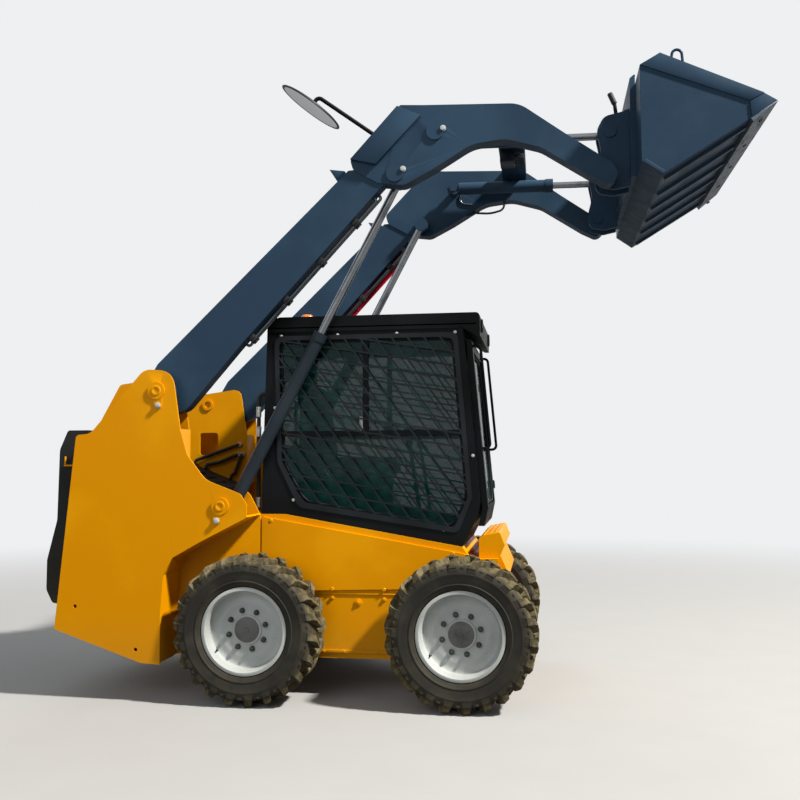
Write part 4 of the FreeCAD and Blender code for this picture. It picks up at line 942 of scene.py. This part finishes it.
def makeCushion(node):
    # the solid's own form, filled out like foam under vinyl; metres here
    look = cushionLook[node]
    source = frame["nodes"][node]
    pad = putObject(node + "_pad", source.data.copy())
    pad.data.name = node + "_pad"
    low = Vector([min(corner[axis] for corner in source.bound_box) for axis in range(3)])
    high = Vector([max(corner[axis] for corner in source.bound_box) for axis in range(3)])
    middle = (low + high) / 2
    shrink = Vector([1 - 2 * look["rise"] * cushionLook["shrink"] / (high[axis] - low[axis]) for axis in range(3)])
    for vert in pad.data.vertices:
        vert.co = middle + Vector([(vert.co[axis] - middle[axis]) * shrink[axis] for axis in range(3)])
    remesh = pad.modifiers.new("grid", "REMESH")
    remesh.mode = "VOXEL"
    remesh.voxel_size = cushionLook["grid"]
    applyAll(pad)
    still = [vert.co.copy() for vert in pad.data.vertices]
    cloth = pad.modifiers.new("stuffing", "CLOTH")
    for key, value in clothSet.items():
        setattr(cloth.settings, key, value)
    cloth.settings.uniform_pressure_force = look["pressure"]
    cloth.settings.effector_weights.gravity = 0
    cloth.collision_settings.use_collision = False
    for number in range(cushionLook["frames"]):
        bpy.context.scene.frame_set(number + 1)
    applyAll(pad)
    bpy.context.scene.frame_set(1)
    gap = cushionLook["gap"]
    for vert, start in zip(pad.data.vertices, still):
        move = vert.co - start
        if move.length > look["rise"]:
            vert.co = start + move.normalized() * look["rise"]
        for axis in range(3):
            vert.co[axis] = min(max(vert.co[axis], low[axis] + gap), high[axis] - gap)
    pad.modifiers.new("even", "SMOOTH").iterations = 4
    finer = pad.modifiers.new("fine", "SUBSURF")
    finer.levels = finer.render_levels = 1
    applyAll(pad)
    pad.data.materials.clear()
    pad.data.materials.append(seatVinyl)
    pad.data.shade_smooth()
    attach(pad, "chassis")
    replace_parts(pad, node)


makePipeClamps()
makeBucketDetails()
makeCushion("seat_cushion")
makeCushion("seat_back")
print("clamps, bucket and seat done")


cameraSet = {"lens": 42.35, "sensor": 36, "place": (0.7935, -5.475, 1.262), "yaw": 8.58, "pitch": 3.72, "roll": -0.24}
eye = bpy.data.cameras.new("viewCamera")
eye.lens = cameraSet["lens"]
eye.sensor_width = cameraSet["sensor"]
viewer = putObject("viewCamera", eye)
viewer.matrix_world = (Matrix.Translation(cameraSet["place"])
                       @ Matrix.Rotation(math.radians(cameraSet["yaw"]), 4, "Z")
                       @ Matrix.Rotation(math.radians(90 + cameraSet["pitch"]), 4, "X")
                       @ Matrix.Rotation(math.radians(cameraSet["roll"]), 4, "Z"))
bpy.context.scene.camera = viewer

lampSet = {
    "key": {"place": (12.8, -4.9, 15.9), "size": 1.5, "power": 9500, "colour": (1.0, 0.96, 0.89)},
    "fill": {"place": (-2.5, -7.5, 3.6), "size": 6.0, "power": 150, "colour": (0.93, 0.97, 1.0)},
    "back": {"place": (-3.5, 5.5, 5.5), "size": 4.5, "power": 150, "colour": (0.96, 0.98, 1.0)},
}
lampTarget = Vector((0, 0, 1.2))
for name, lamp in lampSet.items():
    data = bpy.data.lights.new(name, "AREA")
    data.shape = "DISK"
    data.size = lamp["size"]
    data.energy = lamp["power"]
    data.color = lamp["colour"]
    holder = putObject(name, data)
    holder.visible_glossy = name == "key"    # the others would lie on the mirror as white patches
    holder.matrix_world = Matrix.Translation(lamp["place"]) @ turnTo(Vector(lamp["place"]) - lampTarget)


def mixShaders(tree, factor, first, second):
    mix = tree.nodes.new("ShaderNodeMixShader")
    for socket, source in zip(mix.inputs, (factor, first, second)):
        tree.links.new(source, socket)
    return mix.outputs[0]


def plainShader(tree, kind, strength=1.0, colour=(0.86, 0.87, 0.88, 1)):
    # even light of one colour, the backdrop's unless it is given
    node = tree.nodes.new(kind)
    node.inputs["Color"].default_value = colour
    node.inputs["Strength"].default_value = strength
    return node.outputs[0]


worldSet = {"colour": (0.80, 0.84, 0.86, 1), "strength": 0.31, "inReflections": 0.8}
world = bpy.data.worlds.new("studio")
world.use_nodes = True
bpy.context.scene.world = world
paths = world.node_tree.nodes.new("ShaderNodeLightPath").outputs
sky = plainShader(world.node_tree, "ShaderNodeBackground", worldSet["strength"], worldSet["colour"])
mirrored = plainShader(world.node_tree, "ShaderNodeBackground", worldSet["inReflections"])
bright = plainShader(world.node_tree, "ShaderNodeBackground")
for kind, tone in (("Is Glossy Ray", mirrored), ("Is Transmission Ray", bright), ("Is Camera Ray", bright)):
    sky = mixShaders(world.node_tree, paths[kind], sky, tone)
world.node_tree.links.new(sky, world.node_tree.nodes["World Output"].inputs[0])

floorSet = {"radius": 60, "clear": 3, "gone": 11, "seen": (0.34, 0.34, 0.34, 1), "seenPale": (0.365, 0.365, 0.36, 1),
            "bounced": (0.13, 0.13, 0.13, 1)}
floorMesh = bmesh.new()
bmesh.ops.create_circle(floorMesh, cap_ends=True, segments=96, radius=floorSet["radius"])
floor = meshObject("floor", floorMesh)
ground = Finish("paleFloor", Roughness=0.9)
cameraRay = ground.add("ShaderNodeLightPath", {}, {}, "Is Camera Ray")
grey = ground.blend(ground.noise(3, 3), floorSet["seen"], floorSet["seenPale"])
ground.set(Base_Color=ground.blend(cameraRay, floorSet["bounced"], grey))    # little light comes back off the floor
# it fades out with the distance, and isn't seen from below
fade = ground.ramp(ground.length(ground.place()), floorSet["clear"], floorSet["gone"]) * cameraRay
haze = plainShader(ground.tree, "ShaderNodeEmission")
top = mixShaders(ground.tree, fade.socket, ground.shader.outputs[0], haze)
below = ground.add("ShaderNodeNewGeometry", {}, {}, "Backfacing")
hidden = ground.tree.nodes.new("ShaderNodeBsdfTransparent").outputs[0]
whole = mixShaders(ground.tree, below.socket, top, hidden)
ground.tree.links.new(whole, ground.tree.nodes["Material Output"].inputs[0])
floor.data.materials.append(ground.material)
bpy.context.scene.view_settings.view_transform = "Standard"
print("stage and camera ready")
